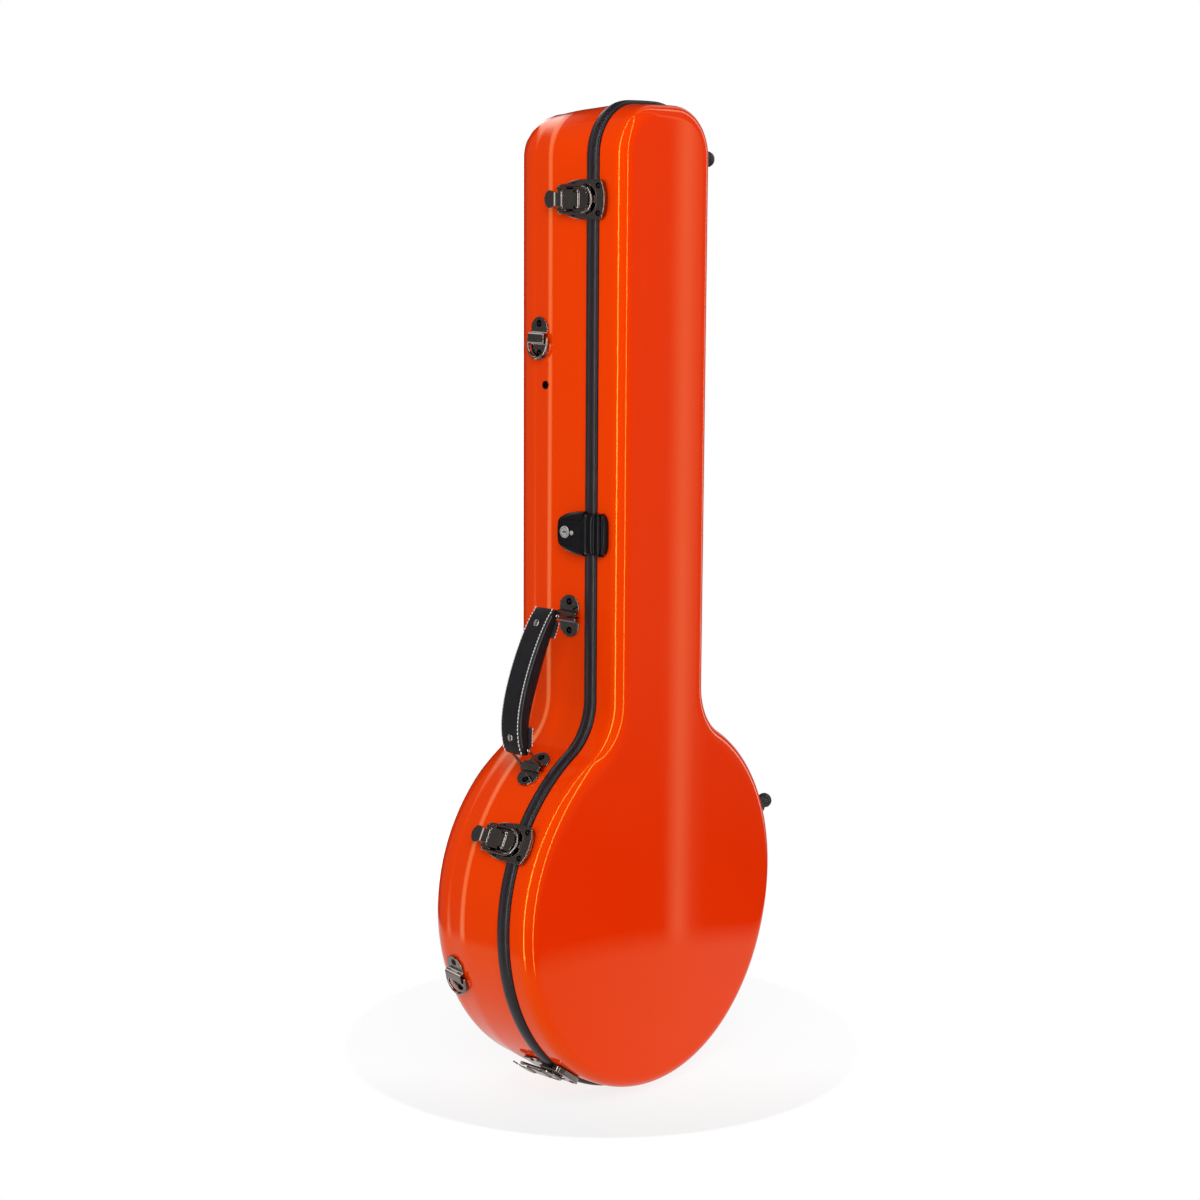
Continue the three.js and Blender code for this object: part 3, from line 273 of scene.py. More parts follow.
def cutPiece(piece, cutter):
    cut = piece.modifiers.new("cut", "BOOLEAN")
    cut.object = cutter
    cut.solver = "EXACT"
    mesh = bpy.data.meshes.new_from_object(piece.evaluated_get(bpy.context.evaluated_depsgraph_get()))
    piece.modifiers.clear()
    piece.data = mesh
    mesh.name = piece.name
    bpy.data.meshes.remove(cutter.data)
    smoothUpTo(mesh, 30)
    return piece


# A copy of a plain CAD solid with its corners rounded off, for hard pieces that need only that.
def softCopy(node, bevel, segments=2):
    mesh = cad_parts[node].data.copy()
    mesh.materials.clear()
    piece = addObject(node + "_soft", mesh)
    bm = bmesh.new()
    bm.from_mesh(mesh)
    bmesh.ops.remove_doubles(bm, verts=bm.verts, dist=1e-6)
    bmesh.ops.dissolve_limit(bm, angle_limit=math.radians(2), verts=bm.verts, edges=bm.edges)
    corners = [e for e in bm.edges if len(e.link_faces) == 2 and e.calc_face_angle() > math.radians(32)]
    bmesh.ops.bevel(bm, geom=corners, offset=bevel, segments=segments, profile=0.5, affect="EDGES",
                    clamp_overlap=True)
    bm.to_mesh(mesh)
    bm.free()
    smoothUpTo(mesh, 40)
    return piece


def dress(piece, material, body, *nodes, slot=None):
    piece.data.materials.clear()
    piece.data.materials.append(material)
    if material in flatFaced:
        normals = piece.modifiers.new("flat faces", "WEIGHTED_NORMAL")
        normals.keep_sharp = True
    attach(piece, body)
    if nodes:
        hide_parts(*nodes)
    return piece


# Starts a group of nodes that several materials share.
def startGroup(name, inputs, outputs):
    group = bpy.data.node_groups.new(name, "ShaderNodeTree")
    for label, kind, value in inputs:
        socket = group.interface.new_socket(label, in_out="INPUT", socket_type=kind)
        socket.default_value = value
    for label, kind in outputs:
        group.interface.new_socket(label, in_out="OUTPUT", socket_type=kind)
    into = group.nodes.new("NodeGroupInput")
    out = group.nodes.new("NodeGroupOutput")
    return group, group.nodes, group.links, into, out


def mathNode(nodes, links, operation, a, b=None, clamp=False):
    node = nodes.new("ShaderNodeMath")
    node.operation = operation
    node.use_clamp = clamp
    for index, value in enumerate((a, b)):
        if value is None:
            continue
        if isinstance(value, (int, float)):
            node.inputs[index].default_value = value
        else:
            links.new(value, node.inputs[index])
    return node.outputs[0]


def rangeNode(nodes, links, value, fromMin, fromMax, toMin=0, toMax=1):
    node = nodes.new("ShaderNodeMapRange")
    for label, number in (("From Min", fromMin), ("From Max", fromMax), ("To Min", toMin), ("To Max", toMax)):
        node.inputs[label].default_value = number
    links.new(value, node.inputs["Value"])
    return node.outputs["Result"]


def noiseNode(nodes, links, scale, detail=3, rough=0.55):
    coords = nodes.new("ShaderNodeTexCoord")
    noise = nodes.new("ShaderNodeTexNoise")
    noise.inputs["Detail"].default_value = detail
    noise.inputs["Roughness"].default_value = rough
    links.new(coords.outputs["Object"], noise.inputs["Vector"])
    if isinstance(scale, (int, float)):
        noise.inputs["Scale"].default_value = scale
    else:
        links.new(scale, noise.inputs["Scale"])
    return noise.outputs["Fac"]


# Fine uneven surface: a height for bump and a mask for colour or roughness.
def grainGroup():
    group, nodes, links, into, out = startGroup(
        "fineGrain", [("Scale", "NodeSocketFloat", 400), ("Contrast", "NodeSocketFloat", 1.5)],
        [("Height", "NodeSocketFloat"), ("Mask", "NodeSocketFloat")])
    fine = noiseNode(nodes, links, into.outputs["Scale"], 4)
    slow = noiseNode(nodes, links, mathNode(nodes, links, "MULTIPLY", into.outputs["Scale"], 0.13), 2)
    spread = mathNode(nodes, links, "MULTIPLY", mathNode(nodes, links, "SUBTRACT", fine, 0.5),
                      into.outputs["Contrast"])
    links.new(mathNode(nodes, links, "ADD", spread, 0.5, True), out.inputs["Height"])
    wide = mathNode(nodes, links, "MULTIPLY", mathNode(nodes, links, "SUBTRACT", slow, 0.5), into.outputs["Contrast"])
    links.new(mathNode(nodes, links, "ADD", wide, 0.5, True), out.inputs["Mask"])
    return group


# Rubbed edges: bright where the surface turns sharply outward, broken up by noise.
def wearGroup():
    group, nodes, links, into, out = startGroup(
        "edgeWear", [("Amount", "NodeSocketFloat", 1.0), ("Breakup", "NodeSocketFloat", 220)],
        [("Mask", "NodeSocketFloat")])
    geometry = nodes.new("ShaderNodeNewGeometry")
    edges = rangeNode(nodes, links, geometry.outputs["Pointiness"], 0.52, 0.62)
    patch = noiseNode(nodes, links, into.outputs["Breakup"], 3)
    broken = mathNode(nodes, links, "MULTIPLY", edges, mathNode(nodes, links, "MULTIPLY", patch, 1.6, True))
    links.new(mathNode(nodes, links, "MULTIPLY", broken, into.outputs["Amount"], True), out.inputs["Mask"])
    return group


# Faint film of handling: slow patches that dull a surface a little.
def handledGroup():
    group, nodes, links, into, out = startGroup(
        "handledFilm", [("Scale", "NodeSocketFloat", 9), ("Low", "NodeSocketFloat", 0.1),
                        ("High", "NodeSocketFloat", 0.2)],
        [("Value", "NodeSocketFloat"), ("Mask", "NodeSocketFloat")])
    patch = noiseNode(nodes, links, into.outputs["Scale"], 5, 0.6)
    spread = rangeNode(nodes, links, patch, 0.35, 0.68)
    span = mathNode(nodes, links, "SUBTRACT", into.outputs["High"], into.outputs["Low"])
    value = mathNode(nodes, links, "ADD", mathNode(nodes, links, "MULTIPLY", spread, span), into.outputs["Low"])
    links.new(value, out.inputs["Value"])
    links.new(spread, out.inputs["Mask"])
    return group


fineGrain, edgeWear, handledFilm = grainGroup(), wearGroup(), handledGroup()


# A material with its Principled shader set by name.
def startMaterial(name, **settings):
    material = bpy.data.materials.new(name)
    material.use_nodes = True
    nodes, links = material.node_tree.nodes, material.node_tree.links
    shader = nodes["Principled BSDF"]
    for label, value in settings.items():
        shader.inputs[label.replace("_", " ")].default_value = value
    return material, nodes, links, shader


def useGroup(nodes, group, **values):
    node = nodes.new("ShaderNodeGroup")
    node.node_tree = group
    for label, value in values.items():
        node.inputs[label].default_value = value
    return node


def mixColour(nodes, links, mask, first, second):
    mix = nodes.new("ShaderNodeMix")
    mix.data_type = "RGBA"
    links.new(mask, mix.inputs["Factor"])
    for socket, value in ((mix.inputs[6], first), (mix.inputs[7], second)):
        if isinstance(value, tuple):
            socket.default_value = (*value, 1)
        else:
            links.new(value, socket)
    return mix.outputs[2]


def bumpTo(nodes, links, shader, height, strength, distance):
    bump = nodes.new("ShaderNodeBump")
    bump.inputs["Strength"].default_value = strength
    bump.inputs["Distance"].default_value = distance
    links.new(height, bump.inputs["Height"])
    links.new(bump.outputs["Normal"], shader.inputs["Normal"])


# The common build: two tones, a handled film in the roughness, fine grain and worn edges.
def surfaceMaterial(name, colours, rough, grain, bump, wear=None, film=9, **settings):
    material, nodes, links, shader = startMaterial(name, **settings)
    fine = useGroup(nodes, fineGrain, Scale=grain[0], Contrast=grain[1])
    filmNode = useGroup(nodes, handledFilm, Scale=film, Low=rough[0], High=rough[1])
    colour = mixColour(nodes, links, fine.outputs["Mask"], *colours)
    if wear:
        worn = useGroup(nodes, edgeWear, Amount=wear[0])
        colour = mixColour(nodes, links, worn.outputs["Mask"], colour, wear[1])
    links.new(colour, shader.inputs["Base Color"])
    links.new(filmNode.outputs["Value"], shader.inputs["Roughness"])
    bumpTo(nodes, links, shader, fine.outputs["Height"], *bump)
    return material


# Orange over the walls and a little redder over the broad faces, chosen by which way the surface faces: painted light
# and shade.
def lacquerMaterial():
    material, nodes, links, shader = startMaterial("orange_lacquer", Specular_IOR_Level=0.46,
                                                   Specular_Tint=(1, 0.9, 0.1, 1))
    coords = nodes.new("ShaderNodeTexCoord")
    axes = nodes.new("ShaderNodeSeparateXYZ")
    links.new(coords.outputs["Normal"], axes.inputs[0])
    facing = mathNode(nodes, links, "ABSOLUTE", axes.outputs["Z"])
    paintedFacingLight = rangeNode(nodes, links, facing, 0.45, 0.98)
    fine = useGroup(nodes, fineGrain, Scale=160, Contrast=1.0)
    film = useGroup(nodes, handledFilm, Scale=6, Low=0.04, High=0.06)
    # The wall tone and the redder face tone are painted lit and shaded copies of one orange lacquer.
    thin = mixColour(nodes, links, fine.outputs["Mask"], (0.755, 0.040, 0.0002), (0.745, 0.038, 0.0002))
    thick = mixColour(nodes, links, fine.outputs["Mask"], (0.755, 0.027, 0.0002), (0.745, 0.0255, 0.0002))
    links.new(mixColour(nodes, links, paintedFacingLight, thin, thick), shader.inputs["Base Color"])
    links.new(film.outputs["Value"], shader.inputs["Roughness"])
    bumpTo(nodes, links, shader, fine.outputs["Height"], 0.01, 0.0004)
    return material


lacquer = lacquerMaterial()
sealRubber = surfaceMaterial("seal_rubber", ((0.010, 0.007, 0.009), (0.015, 0.011, 0.014)), (0.30, 0.42),
                             (700, 1.4), (0.10, 0.0003), film=14, Specular_IOR_Level=0.28)
blackNickel = surfaceMaterial("black_nickel", ((0.25, 0.215, 0.198), (0.225, 0.192, 0.177)), (0.07, 0.11),
                              (900, 1.0), (0.012, 0.0002), (0.15, (0.34, 0.31, 0.29)), 60, Metallic=1.0)
screwMetal = surfaceMaterial("screw_metal", ((0.0045, 0.004, 0.0045), (0.003, 0.0027, 0.003)), (0.12, 0.18),
                             (1200, 1.4), (0.05, 0.0002), None, 120, Metallic=1.0)
rivetMetal = surfaceMaterial("rivet_metal", ((0.34, 0.315, 0.30), (0.28, 0.26, 0.245)), (0.24, 0.34),
                             (1400, 1.4), (0.06, 0.0002), (0.3, (0.4, 0.38, 0.36)), 120, Metallic=1.0)
# The lighter grey of the beads along the strap's edges is a painted highlight.
strapEdgeHighlight = surfaceMaterial("strap_edge_highlight", ((0.055, 0.055, 0.064), (0.035, 0.035, 0.042)), (0.34, 0.46),
                            (1300, 1.8), (0.12, 0.0002), None, 60)
lockPlastic = surfaceMaterial("lock_plastic", ((0.0045, 0.004, 0.005), (0.0065, 0.0058, 0.007)), (0.15, 0.22),
                              (1500, 1.5), (0.08, 0.0002), (0.2, (0.014, 0.013, 0.015)), 40, Specular_IOR_Level=0.14)
keyMetal = surfaceMaterial("key_metal", ((0.46, 0.45, 0.44), (0.36, 0.35, 0.34)), (0.28, 0.40),
                           (1400, 1.6), (0.10, 0.0002), (0.3, (0.6, 0.6, 0.6)), 90, Metallic=0.55)
footRubber = surfaceMaterial("foot_rubber", ((0.016, 0.015, 0.016), (0.023, 0.022, 0.023)), (0.45, 0.6),
                             (800, 1.5), (0.2, 0.0004), film=30)
thread = surfaceMaterial("waxed_thread", ((0.86, 0.84, 0.80), (0.74, 0.72, 0.68)), (0.55, 0.7),
                         (3000, 2.0), (0.4, 0.0002), film=50)


def leatherMaterial():
    material, nodes, links, shader = startMaterial("black_leather", Specular_IOR_Level=0.16)
    coords = nodes.new("ShaderNodeTexCoord")
    cells = nodes.new("ShaderNodeTexVoronoi")
    cells.feature = "DISTANCE_TO_EDGE"
    cells.inputs["Scale"].default_value = 900
    links.new(coords.outputs["Object"], cells.inputs["Vector"])
    fine = useGroup(nodes, fineGrain, Scale=500, Contrast=1.8)
    film = useGroup(nodes, handledFilm, Scale=35, Low=0.36, High=0.52)
    worn = useGroup(nodes, edgeWear, Amount=0.5, Breakup=300)
    crease = mathNode(nodes, links, "MULTIPLY", cells.outputs["Distance"], 3.0, True)
    height = mathNode(nodes, links, "ADD", mathNode(nodes, links, "MULTIPLY", crease, 0.6),
                      mathNode(nodes, links, "MULTIPLY", fine.outputs["Height"], 0.5))
    colour = mixColour(nodes, links, fine.outputs["Mask"], (0.0055, 0.005, 0.006), (0.010, 0.009, 0.011))
    # Lighter at sharp edges: rubbed wear, and partly a painted highlight along the strap's rolled edges.
    colour = mixColour(nodes, links, worn.outputs["Mask"], colour, (0.09, 0.088, 0.092))
    links.new(colour, shader.inputs["Base Color"])
    links.new(film.outputs["Value"], shader.inputs["Roughness"])
    bumpTo(nodes, links, shader, height, 0.35, 0.0004)
    return material


def plushMaterial(name, dark, light):
    material, nodes, links, shader = startMaterial(name, Sheen_Weight=0.7, Sheen_Roughness=0.45,
                                                   Sheen_Tint=(0.5, 0.5, 0.55, 1), Specular_IOR_Level=0.15)
    pile = useGroup(nodes, fineGrain, Scale=1600, Contrast=2.2)
    brushed = useGroup(nodes, handledFilm, Scale=22, Low=0.82, High=0.98)
    colour = mixColour(nodes, links, brushed.outputs["Mask"], dark, light)
    tip = mathNode(nodes, links, "MULTIPLY", pile.outputs["Height"], 0.5, True)
    lighter = tuple(min(1, c * 1.9) for c in light)
    links.new(mixColour(nodes, links, tip, colour, lighter), shader.inputs["Base Color"])
    links.new(brushed.outputs["Value"], shader.inputs["Roughness"])
    bumpTo(nodes, links, shader, pile.outputs["Height"], 0.7, 0.0008)
    return material


flatFaced = (blackNickel, screwMetal, rivetMetal, lockPlastic, keyMetal)
leather = leatherMaterial()
plush = plushMaterial("charcoal_plush", (0.016, 0.016, 0.019), (0.027, 0.027, 0.031))
plushPad = plushMaterial("pad_plush", (0.019, 0.019, 0.022), (0.032, 0.032, 0.037))
print("case: materials ready")


# Closes a ring of the outline with rows across the case. Heights come from a place and the row's half width.
def capRows(verts, faces, start, columns, heightAt):
    count, last = len(outline), len(halfOutline) - 1
    before = [start]
    for k in range(1, last + 1):
        row = [start + k]
        if k < last:
            a, b = verts[start + k], verts[start + count - k]
            for j in range(1, columns):
                y = a[1] + (b[1] - a[1]) * j / columns
                verts.append((a[0], y, heightAt(a[0], y, abs(a[1]))))
                row.append(len(verts) - 1)
            row.append(start + count - k)
        for j in range(columns):
            quad = [before[min(j, len(before) - 1)], before[min(j + 1, len(before) - 1)],
                    row[min(j + 1, len(row) - 1)], row[min(j, len(row) - 1)]]
            face = tuple(dict.fromkeys(quad))
            if len(face) > 2:
                faces.append(face)
        before = row


def openShell(name, outer, inner, columns, outerFace, innerFace):
    rings = outer[::-1] + inner
    verts, faces = skinRings(rings, capped=False)
    capRows(verts, faces, 0, columns, outerFace)
    capRows(verts, faces, (len(rings) - 1) * len(outline), columns, innerFace)
    return newPiece(name, verts, faces, sharp=50)


hem, flank = 0.6, 6  # rows that keep the rim crisp and the walls straight


def backWall(rim, depth, steps=10, lip=0.0):
    radius = case["backEdge"] - depth
    rings = [ring(depth + lip, lambda y: rim)] if lip else []
    soft, rows = case["creaseSoft"], 8
    heights = [rim - abs(lip), rim - abs(lip) - hem, rim - flank]
    heights += [case["crease"] + soft - 2 * soft * i / rows for i in range(rows + 1)]
    heights.append(case["backEdge"] + flank)
    rings += [ring(backInset(z, depth), lambda y, z=z: z) for z in heights]
    for i in range(steps + 1):
        turn = math.pi / 2 * i / steps
        inset = case["backTaper"] + case["backEdge"] - radius * math.cos(turn)
        rings.append(ring(inset, lambda y, t=turn: case["backEdge"] - radius * math.sin(t)))
    return rings


def lidWall(rim, depth, steps=12, lip=0.0):
    radius = case["lidEdge"] - depth
    rings = [ring(depth + lip, lambda y: rim)] if lip else []
    rings += [ring(depth, lambda y, z=z: z) for z in (rim + abs(lip), rim + abs(lip) + hem)]
    for i in range(steps + 1):
        turn = math.pi / 2 * i / steps
        inset = case["lidTaper"] + case["lidEdge"] - radius * math.cos(turn)
        rings.append(ring(inset, lambda y, t=turn: lidTop(y) - case["lidEdge"] + radius * math.sin(t)))
    return rings


backRim, lidRim = case["seam"] - rimDrop, case["seam"] + rimDrop
linerDepth = case["wall"] + case["gap"]
bayDepth = linerDepth + case["liner"] + case["gap"]

backShell = openShell("back_shell_skin", backWall(backRim, 0, lip=0.5),
                      backWall(backRim, case["wall"], 8, -0.4), 10,
                      lambda x, y, edge: 0.0, lambda x, y, edge: case["wall"])
dress(backShell, lacquer, "back", "back_shell", slot="lacquer")
lidShell = openShell("lid_shell_skin", lidWall(lidRim, 0, lip=0.5), lidWall(lidRim, case["wall"], 8, -0.4), 28,
                     lambda x, y, edge: lidTop(y), lambda x, y, edge: lidTop(y) - case["wall"])
dress(lidShell, lacquer, "lid", "lid_shell", slot="lacquer")

backLiner = openShell("back_lining", backWall(backRim, linerDepth, 8, 0.6),
                      backWall(backRim, linerDepth + case["liner"], 8, -0.9), 10,
                      lambda x, y, edge: linerDepth, lambda x, y, edge: linerDepth + case["liner"])
dress(backLiner, plush, "back", "back_liner", slot="plush")
lidLiner = openShell("lid_lining", lidWall(lidRim, linerDepth, 8, 0.6),
                     lidWall(lidRim, linerDepth + case["liner"], 8, -0.9), 28,
                     lambda x, y, edge: lidTop(y) - linerDepth,
                     lambda x, y, edge: lidTop(y) - linerDepth - case["liner"])
dress(lidLiner, plush, "lid", "lid_liner", slot="plush")


def sealBead():
    half, soft, steps = case["seal"] / 2, 0.4, 16
    rings = [ring(case["sealDepth"], lambda y: case["seam"] + half - soft),
             ring(case["sealDepth"], lambda y: case["seam"] - half + soft)]
    rings.append(ring(case["sealDepth"] - soft, lambda y: case["seam"] - half))
    for i in range(steps + 1):
        turn = -math.pi / 2 + math.pi * i / steps
        bulge = case["sealProud"] * math.cos(turn) ** 0.8 if abs(math.cos(turn)) > 1e-6 else 0
        rings.append(ring(-bulge, lambda y, t=turn: case["seam"] + half * math.sin(t)))
    rings.append(ring(case["sealDepth"] - soft, lambda y: case["seam"] + half))
    rings.append(rings[0])
    verts, faces = skinRings(rings, capped=False)
    return newPiece("seal_bead", verts, faces, sharp=55)


dress(sealBead(), sealRubber, "back", "rim_seal", slot="seal")
print("case: shells ready")


# Places on the wall are (x, y, normal x, normal y), on the handle side or the hinge side.
def neckSpot(fromHead, side=-1):
    return (fromHead - headReach, side * case["neck"], 0, side)


def bulbSpot(degrees, side=-1):
    t = math.radians(degrees)
    reach = case["bulb"] if degrees > 90 else case["toe"]
    n = Vector((case["bulb"] * math.cos(t), reach * math.sin(t))).normalized()
    return (reach * math.cos(t), side * case["bulb"] * math.sin(t), n.x, side * n.y)


# Local x runs along the wall, y up it and z straight out of it.
def wallFrame(spot, height):
    x, y, nx, ny = spot
    lean, inset = 0, 0
    if height < case["crease"]:
        lean = math.atan2(case["backTaper"], case["crease"] - case["backEdge"])
        inset = (case["crease"] - height) * math.tan(lean)
    out = Vector((nx * math.cos(lean), ny * math.cos(lean), -math.sin(lean)))
    up = Vector((nx * math.sin(lean), ny * math.sin(lean), math.cos(lean)))
    along = up.cross(out)
    matrix = Matrix((along, up, out)).transposed().to_4x4()
    matrix.translation = (x - nx * inset, y - ny * inset, height)
    return matrix


# The same frame with its first two axes changed over, for strips that run up the wall.
def turnedFrame(matrix):
    return matrix @ Matrix(((0, -1, 0, 0), (1, 0, 0, 0), (0, 0, 1, 0), (0, 0, 0, 1)))


# For a shape drawn in (second axis, third axis) and made thick along the first axis.
def crossFrame(across):
    return Matrix(((0, 0, 1, across), (1, 0, 0, 0), (0, 1, 0, 0), (0, 0, 0, 1)))


# For a rod that lies along the wall; its centre is given as (-out, up).
def rodFrame(spot):
    return spot @ Matrix(((0, 0, 1, 0), (0, 1, 0, 0), (-1, 0, 0, 0), (0, 0, 0, 1)))


# A plate on edge, drawn in (up, out), on one side of the middle.
def standingPlate(name, shape, side, inner, thick, spot, bevel):
    start = inner if side > 0 else -inner - thick
    return platePiece(name, shape, 0, thick, spot @ crossFrame(start), bevel)


def roundedLoop(u0, u1, v0, v1, radius, steps=6):
    loop = []
    for cx, cy, start in ((u1 - radius, v1 - radius, 0), (u0 + radius, v1 - radius, 90),
                          (u0 + radius, v0 + radius, 180), (u1 - radius, v0 + radius, 270)):
        for i in range(steps + 1):
            t = math.radians(start + 90 * i / steps)
            loop.append((cx + radius * math.cos(t), cy + radius * math.sin(t)))
    return loop


def arcPoints(u, v, radius, start, end, steps):
    turns = [math.radians(start + (end - start) * k / steps) for k in range(steps + 1)]
    return [(u + radius * math.cos(t), v + radius * math.sin(t)) for t in turns]


# A closed outline from quadratic or cubic pieces, each a tuple of its control points.
def bezierLoop(*curves, steps=8):
    loop = []
    for points in curves:
        for i in range(steps):
            t = i / steps
            work = [Vector(p) for p in points]
            while len(work) > 1:
                work = [a.lerp(b, t) for a, b in zip(work, work[1:])]
            loop.append((work[0].x, work[0].y))
    return loop


# A dark pan head with a socket.
def panScrew(name, u, v, w, spot, radius):
    profile = [(axis, w - 0.3), (1.2, w - 0.3), (1.25, w + 0.5), (1.45, w + 0.7), (radius - 0.7, w + 0.68),
               (radius - 0.35, w + 0.5), (radius - 0.1, w + 0.1), (radius, w - 0.4), (radius, w - 1.2),
               (axis, w - 1.2)]
    return lathePiece(name, profile, spot, (u, v), 24, 25)


def screwPair(name, body, spot, across, v, w, radius):
    for side, letter in ((-1, "a"), (1, "b")):
        screw = panScrew(f"{name}_screw_{letter}", side * across, v, w, spot, radius)
        dress(screw, screwMetal, body, slot="dark_metal")


# Draw latches: base, lever and wire on the back shell, catch on the lid.
latch = {
    "places": (neckSpot(98), bulbSpot(117), bulbSpot(36)),
    "half": 20.5, "plate": 2.0, "edge": -8.6, "pivotDrop": 13.7, "pivotRise": 8.2, "wire": 1.4,
    "ear": 7.2, "earThick": 2, "tongueHalf": 9.8, "tongueLength": 12.5,
    "leverHalf": 10.1, "tabRadius": 9.4, "tabDrop": 37.9, "tabSlope": 0.17, "lug": 9.4, "lugThick": 2.9,
    "bailHalf": 14, "bailReach": 4.6, "bailDrop": 40.5, "catchTop": 6.5, "catchEdge": -9.4, "notch": 15.8,
    "baseScrew": (15.5, -26), "baseScrewRadius": 2.4, "catchScrew": (14, 12.4), "catchScrewRadius": 3.4,
}


def latchBase(i, spot):
    half, top, edge = latch["half"], latch["plate"] + case["gap"], latch["edge"]
    shape = bezierLoop(((half, edge), (-half, edge)),
                       ((-half, edge), (-half - 0.3, -22), (-half + 2.2, -38.4), (-10, -43.6)),
                       ((-10, -43.6), (0, -44.4), (10, -43.6)),
                       ((10, -43.6), (half - 2.2, -38.4), (half + 0.3, -22), (half, edge)), steps=12)
    parts = [platePiece("base", shape, case["gap"], top, spot, 0.5)]
    rise, drop = latch["pivotRise"], latch["pivotDrop"]
    for side in (-1, 1):
        ear = [(-drop - 3.4, top - 0.3), (-drop + 16, top - 0.3), (-drop + 14.5, rise + 0.4),
               (-drop + 2.4, rise + 1.0)]
        ear += arcPoints(-drop, rise, 2.6, 40, 180, 7)
        parts.append(standingPlate("ear", ear, side, latch["ear"], latch["earThick"], spot, 0.35))
    wide, tongueEnd, steps = latch["tongueHalf"], -drop + 2.4 + latch["tongueLength"], 14
    path = []
    for k in range(steps + 1):
        v = -drop + 3.0 + (tongueEnd + drop - 3.0) * (k / steps)
        short = tongueEnd - v
        halfWidth = wide if short > wide else math.sqrt(max(0.02, wide ** 2 - (wide - short) ** 2))
        path.append((v, rise + 0.1 - 0.012 * (v + drop) ** 1.2, halfWidth))
    parts.append(ribbonPiece("tongue", path, 1.9, turnedFrame(spot), 0.6))
    base = joinPieces(f"latch_{i}_plate", parts)
    dress(base, blackNickel, "back", f"latch_{i}_base", slot="dark_metal")
    across, v = latch["baseScrew"]
    screwPair(f"latch_{i}_base", "back", spot, across, v, top, latch["baseScrewRadius"])


def latchLever(i, spot):
    rise, drop, bail = latch["pivotRise"], latch["pivotDrop"], latch["bailDrop"]
    wide, neck = latch["leverHalf"], 6.9
    # up from the pivot, out from it, and half width: a flat body, a short step and a neck
    line = ((2.1, -0.1, neck), (1.9, 0.6, neck), (1.5, 1.2, neck), (0.8, 1.5, neck), (-0.2, 1.6, neck),
            (-4.2, 1.6, neck), (-4.3, 1.6, wide), (-11, 1.6, wide), (-19.6, 1.6, wide), (-20.1, 1.75, wide),
            (-20.4, 2.05, wide - 0.3), (-20.7, 2.5, 8.4), (-21.1, 2.8, 7.8), (-21.6, 2.9, 7.5), (-25, 2.9, 7.3),
            (-28.8, 2.9, 7.2), (-29.4, 2.88, 7.1), (-31.0, 2.74, neck), (-31.5, 2.68, neck))
    path = [(-drop + v, rise + w, h) for v, w, h in line]
    neckEnd, neckRise, _ = line[-1]
    radius, start, end, steps = latch["tabRadius"], 47, 177, 14
    for k in range(1, steps + 1):
        t = math.radians(start + (end - start) * k / steps)
        v = -drop - latch["tabDrop"] + radius * math.cos(t)
        path.append((v, rise + neckRise + latch["tabSlope"] * (v + drop - neckEnd), radius * math.sin(t)))
    parts = [ribbonPiece("plate", path, 1.5, turnedFrame(spot), 0.55, 50)]
    rods = (("barrel", 2.1, 0.2, 6.8, 0.3, 24), ("pin", 1.2, 0.3, 9.6, 0.4, 20))
    for name, radius, chamfer, half, slope, sides in rods:
        profile = [(axis, -half), (radius - chamfer, -half), (radius, slope - half), (radius, half - slope),
                   (radius - chamfer, half), (axis, half)]
        parts.append(lathePiece(name, profile, rodFrame(spot), (-rise, -drop), sides))
    for side in (-1, 1):
        lug = [(-bail - 2.3, rise - 1.6), (-bail + 9.4, rise - 1.6), (-bail + 8.6, rise + 0.2),
               (-bail + 3.4, rise + 0.5), (-bail + 2.2, rise + 1.4), (-bail - 1.6, rise + 1.8)]
        parts.append(standingPlate("lug", lug, side, latch["lug"], latch["lugThick"], spot, 0.4))
        near, far = sorted((side * 5.6, side * 9.6))
        arm = roundedLoop(near, far, -bail - 2.2, -bail + 6.2, 0.6, 2)
        parts.append(platePiece("arm", arm, rise - 1.0, rise + 0.5, spot, 0.4))
    dress(joinPieces(f"latch_{i}_handle", parts), blackNickel, f"lever_{i}", f"latch_{i}_lever", slot="dark_metal")


def latchBail(i, spot):
    half, drop, rise = latch["bailHalf"], latch["bailDrop"], latch["pivotRise"]
    bend = latch["bailReach"] - half
    side = [(-half + 2.9, -drop), (-half + 1.2, -drop), (-half + 0.35, -drop + 0.4), (-half, -drop + 1.3),
            (-half - 0.05, -drop + 8), (-half - 0.05, bend - 6)]
    turn = arcPoints(0, bend, half, 180, 0, 20)
    loop = side + turn + [(-u, v) for u, v in side[::-1]]
    piece = wirePiece(f"latch_{i}_wire", [(u, v, rise) for u, v in loop], latch["wire"], spot)
    dress(piece, blackNickel, f"bail_{i}", f"latch_{i}_bail", slot="dark_metal")


